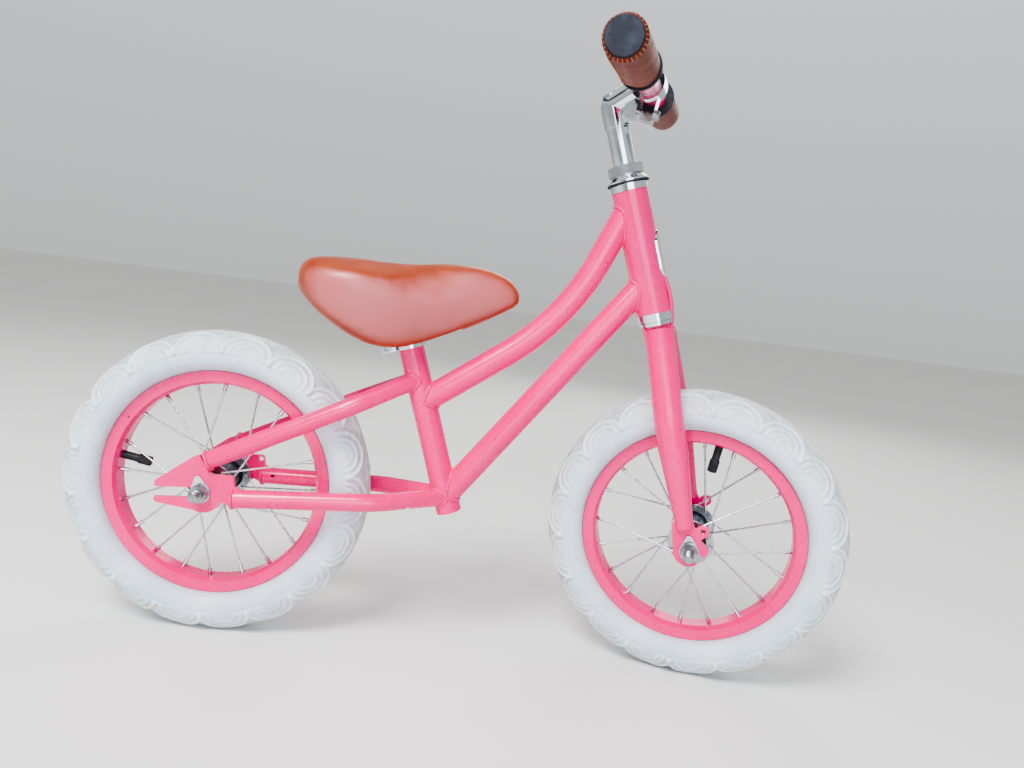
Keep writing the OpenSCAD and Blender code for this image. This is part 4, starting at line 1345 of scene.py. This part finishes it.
@dataclass
class Saddle:
    """A padded saddle: foam under one smooth leather cover, open below for its post.

    Sizes are in millimetres from the top of the seat tube, along the bike.
    """

    rear: float = -112.0
    nose: float = 104.5
    rear_z: float = 45.0
    nose_z: float = 52.0
    puff: float = 5.0
    voxel: float = 4.5
    cavity_rear: float = -61.5
    cavity_front: float = 51.5
    cavity_half: float = 32.0
    cavity_front_half: float = 17.5
    cavity_top: float = 29.6
    seat_len: float = 179.0

    def top(self) -> tuple[Sequence[float], Sequence[float]]:
        """Return the stations and the heights of the top line, before the ends are rounded."""
        return (
            (-112, -98, -66, -30, 4, 35, 60, 90, 105),
            (74.0, 75.5, 71.5, 70.0, 71.8, 78.0, 85.0, 88.5, 89.0),
        )

    def bottom(self) -> tuple[Sequence[float], Sequence[float]]:
        """Return the stations and the heights of the skirt's lower edge."""
        return (
            (-112, -87, -58, -40, -25, -13, 0, 18, 37, 66, 94, 105),
            (32.0, 14.0, -1.0, -8.0, -11.0, -11.0, -8.5, -1.5, 7.5, 22.5, 38.0, 44.0),
        )

    def half_width(self) -> tuple[Sequence[float], Sequence[float]]:
        """Return the stations and half widths seen from above."""
        return (
            (-112, -80, -50, -20, 10, 40, 70, 105),
            (61.0, 62.5, 60.5, 52.0, 40.5, 31.0, 24.5, 19.0),
        )

    @staticmethod
    def line(at: np.ndarray, table: tuple[Sequence[float], Sequence[float]]) -> np.ndarray:
        """Run a smooth line through a table's points.

        Args:
            at: where to read it.
            table: the stations and their values.

        Returns:
            The line's values.
        """
        fine = np.linspace(table[0][0], table[0][-1], 240)
        rough = np.interp(fine, table[0], table[1])
        window = np.hanning(31)
        padded = np.pad(rough, 15, mode="reflect", reflect_type="odd")
        return np.interp(at, fine, np.convolve(padded, window / window.sum(), mode="valid"))

    def shape(self, grow: float = 0.0) -> bpy.types.Object:
        """Shape the closed cover from a ball, station by station.

        Args:
            grow: how far the surface stands outside its final place, in millimetres.

        Returns:
            The cover in the saddle's own frame, in metres.
        """
        bpy.ops.object.select_all(action="DESELECT")
        bpy.ops.mesh.primitive_uv_sphere_add(segments=128, ring_count=96, radius=1.0)
        obj = added("saddle_cover_leather")
        ball = points_of(obj)
        u = np.clip(ball[:, 2], -1, 1)
        turn = np.arctan2(ball[:, 0], ball[:, 1])
        # stations crowd towards both ends, so that the ends stay round
        x = self.rear + (self.nose - self.rear) * (u + 1) / 2
        front = u > 0
        a = np.abs(u)
        close_top = (1 - a ** np.where(front, 2.4, 5.0)) ** np.where(front, 1 / 2.4, 1 / 5.0)
        close_low = (1 - a ** np.where(front, 6.0, 4.5)) ** np.where(front, 1 / 6.0, 1 / 4.5)
        close_side = (1 - a ** np.where(front, 3.2, 3.0)) ** np.where(front, 1 / 3.2, 1 / 3.0)
        middle = self.rear_z + (self.nose_z - self.rear_z) * (u + 1) / 2
        up = (self.line(x, self.top()) - middle) * close_top + grow
        down = (middle - self.line(x, self.bottom())) * close_low + grow
        half = self.line(x, self.half_width()) * close_side + grow
        c, s = np.cos(turn), np.sin(turn)
        upper = s >= 0
        bend = np.where(upper, 2.7, 6.0)
        size = (np.abs(c) ** bend + np.abs(s) ** bend) ** (1 / bend)
        yy = c / size
        zz = s / size
        tuck = 1 - 0.16 * np.where(upper, 0, np.abs(zz)) ** 1.6
        y = half * yy * tuck
        z = middle + np.where(upper, up, down) * zz
        # a shallow hollow runs along the middle of the seat
        dip = 2.2 * np.exp(-((y / 16) ** 2)) * np.exp(-(((x + 35) / 55) ** 2))
        z = z - np.where(upper, dip * np.clip(zz, 0, 1) ** 4, 0)
        set_points(obj, np.column_stack([x, y, z]) * MM)
        face_out(obj)
        return obj

    def inflate(self, obj: bpy.types.Object) -> None:
        """Fill the cover with foam: a cloth simulation under pressure, held at its lower edge.

        Args:
            obj: the closed cover, which starts slightly smaller than it ends.
        """
        modify(obj, "REMESH", mode="VOXEL", voxel_size=self.voxel * MM)
        before = points_of(obj)
        x = before[:, 0] / MM
        low = self.line(x, self.bottom())
        held = obj.vertex_groups.new(name="held")
        edge = np.nonzero(before[:, 2] / MM < low + 9)[0]
        held.add([int(i) for i in edge], 1.0, "REPLACE")
        cloth = obj.modifiers.new("padding", "CLOTH")
        settings = cloth.settings
        settings.quality = 6
        settings.mass = 0.35
        settings.tension_stiffness = 22
        settings.compression_stiffness = 22
        settings.shear_stiffness = 12
        settings.bending_stiffness = 3.0
        settings.use_pressure = True
        settings.uniform_pressure_force = 4.0
        settings.vertex_group_mass = held.name
        settings.effector_weights.gravity = 0.0
        cloth.collision_settings.use_collision = False
        cloth.point_cache.frame_start = 1
        cloth.point_cache.frame_end = 20
        for step in range(1, 21):
            bpy.context.scene.frame_set(step)
        shown = obj.evaluated_get(bpy.context.evaluated_depsgraph_get())
        flat = np.empty(len(shown.data.vertices) * 3)
        shown.data.vertices.foreach_get("co", flat)
        after = flat.reshape(-1, 3)
        obj.modifiers.remove(cloth)
        moved = after - before
        length = np.linalg.norm(moved, axis=1, keepdims=True)
        cap = self.puff * MM
        LOG.info("the padding rises by up to %.1f mm", length.max() / MM)
        set_points(obj, before + moved * np.minimum(1.0, cap / np.maximum(length, 1e-9)))
        obj.vertex_groups.remove(held)
        bpy.context.scene.frame_set(1)

    def hollow(self, obj: bpy.types.Object) -> None:
        """Cut the cavity for the post and its pan from below."""
        bpy.ops.object.select_all(action="DESELECT")
        bpy.ops.mesh.primitive_cube_add(size=1.0)
        cutter = added("cavity")
        depth = 60.0
        size = (self.cavity_front - self.cavity_rear, 2 * self.cavity_half, depth)
        centre = ((self.cavity_front + self.cavity_rear) / 2, 0.0, self.cavity_top - depth / 2)
        put(cutter, Matrix.Translation(Vector(centre) * MM) @ Matrix.Diagonal(Vector((*size, 1000.0)) * MM))
        select_only(cutter)
        bpy.ops.object.mode_set(mode="EDIT")
        bpy.ops.mesh.select_all(action="SELECT")
        bpy.ops.mesh.bisect(plane_co=(-0.02, 0.0, 0.0), plane_no=(1.0, 0.0, 0.0))
        bpy.ops.object.mode_set(mode="OBJECT")
        points = points_of(cutter)
        narrow = self.cavity_front_half / self.cavity_half
        points[:, 1] *= np.where(points[:, 0] > 0, narrow, 1.0)
        set_points(cutter, points)
        modify(obj, "BOOLEAN", operation="DIFFERENCE", object=cutter, solver="EXACT")
        bpy.data.objects.remove(cutter)

    def build(self, finishes: dict[str, bpy.types.Material]) -> None:
        """Build the padded cover and dress the post, the pan and the bolts."""
        seat_top = SEAT_FOOT + SEAT_AXIS * self.seat_len * MM
        cover = self.shape(-1.0)
        self.inflate(cover)
        modify(cover, "SMOOTH", factor=0.5, iterations=4)
        self.hollow(cover)
        put(cover, Matrix.Translation(seat_top))
        smooth(cover, 40)
        finish_piece(cover, finishes["saddle"], Body.SADDLE, ["saddle_cover"])
        dress_node("saddle_base", finishes["slate_plastic"])
        dress_node("saddle_bolts", finishes["zinc"])
        dress_node("seat_post", finishes["chrome"])


# ---------------------------------------------------------------- studio


@dataclass
class Studio:
    """A pale floor, soft lights and the camera beside the bike. Lengths are in metres."""

    eye: tuple[float, float, float] = (0.00835, -0.7702, 0.365)
    right: tuple[float, float, float] = (0.99208, -0.02608, 0.12288)
    ahead: tuple[float, float, float] = (0.03916, 0.99368, -0.10520)
    sensor_mm: float = 36.0
    lens_mm: float = 27.03515625
    sky_strength: float = 0.66

    def floor(self) -> None:
        """Lay a wide pale floor."""
        bpy.ops.object.select_all(action="DESELECT")
        bpy.ops.mesh.primitive_plane_add(size=60.0)
        sheet = added("studio_floor")
        sheet.data.materials.append(Paper().make())

    def light(self, name: str, spot: Sequence[float], size: float, power: float, colour: str) -> None:
        """Hang one soft square light that faces the bike.

        Args:
            name: the light's name.
            spot: where it hangs.
            size: its side.
            power: its power in watts.
            colour: its sRGB colour.
        """
        data = bpy.data.lights.new(name, "AREA")
        data.shape = "SQUARE"
        data.size = size
        data.energy = power
        data.color = linear(colour)[:3]
        obj = bpy.data.objects.new(name, data)
        obj.location = spot
        aim = Vector((0.0, 0.0, 0.28)) - Vector(spot)
        obj.rotation_euler = aim.to_track_quat("-Z", "Y").to_euler()
        bpy.context.scene.collection.objects.link(obj)

    def sky(self) -> None:
        """Light the room evenly, darker low down, so that bright metal has something to show."""
        world = bpy.data.worlds.new("studio")
        bpy.context.scene.world = world
        world.use_nodes = True
        tree = world.node_tree
        coords = add_node(tree, "ShaderNodeTexCoord").outputs["Generated"]
        height = add_node(tree, "ShaderNodeSeparateXYZ", {"Vector": coords}).outputs["Z"]
        ramp = add_node(tree, "ShaderNodeValToRGB", {"Fac": height})
        stops = (
            (0.0, "#DADBDC"), (0.2, "#E6E8EA"), (0.42, "#F6F8FA"), (0.52, "#4A4F55"),
            (0.62, "#565B60"), (0.72, "#FFFFFF"),
        )
        set_ramp(ramp, [(position, linear(code)) for position, code in stops])
        background = tree.nodes["Background"]
        tree.links.new(ramp.outputs["Color"], background.inputs["Color"])
        background.inputs["Strength"].default_value = self.sky_strength

    def camera(self) -> None:
        """Set the camera beside the bike, turned as it was held."""
        data = bpy.data.cameras.new("camera")
        data.sensor_width = self.sensor_mm
        data.lens = self.lens_mm
        data.clip_start = 0.01
        obj = bpy.data.objects.new("camera", data)
        ahead = Vector(self.ahead).normalized()
        right = Vector(self.right)
        right = (right - right.dot(ahead) * ahead).normalized()
        up = right.cross(ahead)
        turn = Matrix((right, up, -ahead)).transposed().to_4x4()
        obj.matrix_world = Matrix.Translation(self.eye) @ turn
        bpy.context.scene.collection.objects.link(obj)
        bpy.context.scene.camera = obj

    def build(self) -> None:
        """Set up the floor, the lights and the camera."""
        self.floor()
        self.sky()
        bpy.context.scene.view_settings.look = "AgX - High Contrast"
        self.light("front", (0.1, -2.7, 1.0), 1.8, 30.0, "#E6EEFF")
        self.light("key", (-0.9, -1.5, 2.3), 1.0, 62.0, "#FFFFFF")
        self.light("back", (0.6, 2.2, 1.8), 1.6, 16.0, "#FFFFFF")
        self.camera()


def make_finishes() -> dict[str, bpy.types.Material]:
    """Make every finish that several pieces share."""
    return {
        "enamel": Enamel().make(),
        "chrome": Chrome().make(),
        "zinc": PlatedSteel("zinc_plated_steel", "#B4B8BC", "#8F9294", 0.3).make(),
        "wire": PlatedSteel("drawn_spoke_wire", "#D9DEE2", "#B8BEC4", 0.26, 0.5).make(),
        "black_rubber": DarkPolymer("moulded_black_rubber", "#1F2228", "#3A3E46", 0.55).make(),
        "slate_plastic": DarkPolymer("moulded_slate_plastic", "#232833", "#3D4454", 0.6).make(),
        "grip": Leather(
            "brown_grip_leather", "#7C3412", "#5F250C", "#914A24", 0.5, 1.6, 0.05, 0.1, 0.0, "#7C3412"
        ).make(),
        # the saddle's last colour is the painted sheen on its upright sides; the grip's equals its own
        # colour, so it gets none
        "saddle": Leather(
            "tan_saddle_leather", "#A8441C", "#963914", "#B5542C", 0.45, 1.1, 0.02, 0.4, 0.1, "#BF6A68"
        ).make(),
        "lace": Thread("waxed_lace", "#B87A60", "#96583E").make(),
    }


def main() -> None:
    """Build the whole scene in order and report each piece."""
    logging.basicConfig(level=logging.INFO, format="%(name)s: %(message)s")
    finishes = make_finishes()
    FrameAndFork().build(finishes)
    Wheel("rear", REAR_PLACE, Body.REAR_WHEEL, Body.FRAME, 189.0).build(finishes)
    Wheel("front", FRONT_PLACE, Body.FRONT_WHEEL, Body.FORK, -63.0).build(finishes)
    Cockpit().build(finishes)
    Saddle().build(finishes)
    Studio().build()


if __name__ == "__main__":
    main()
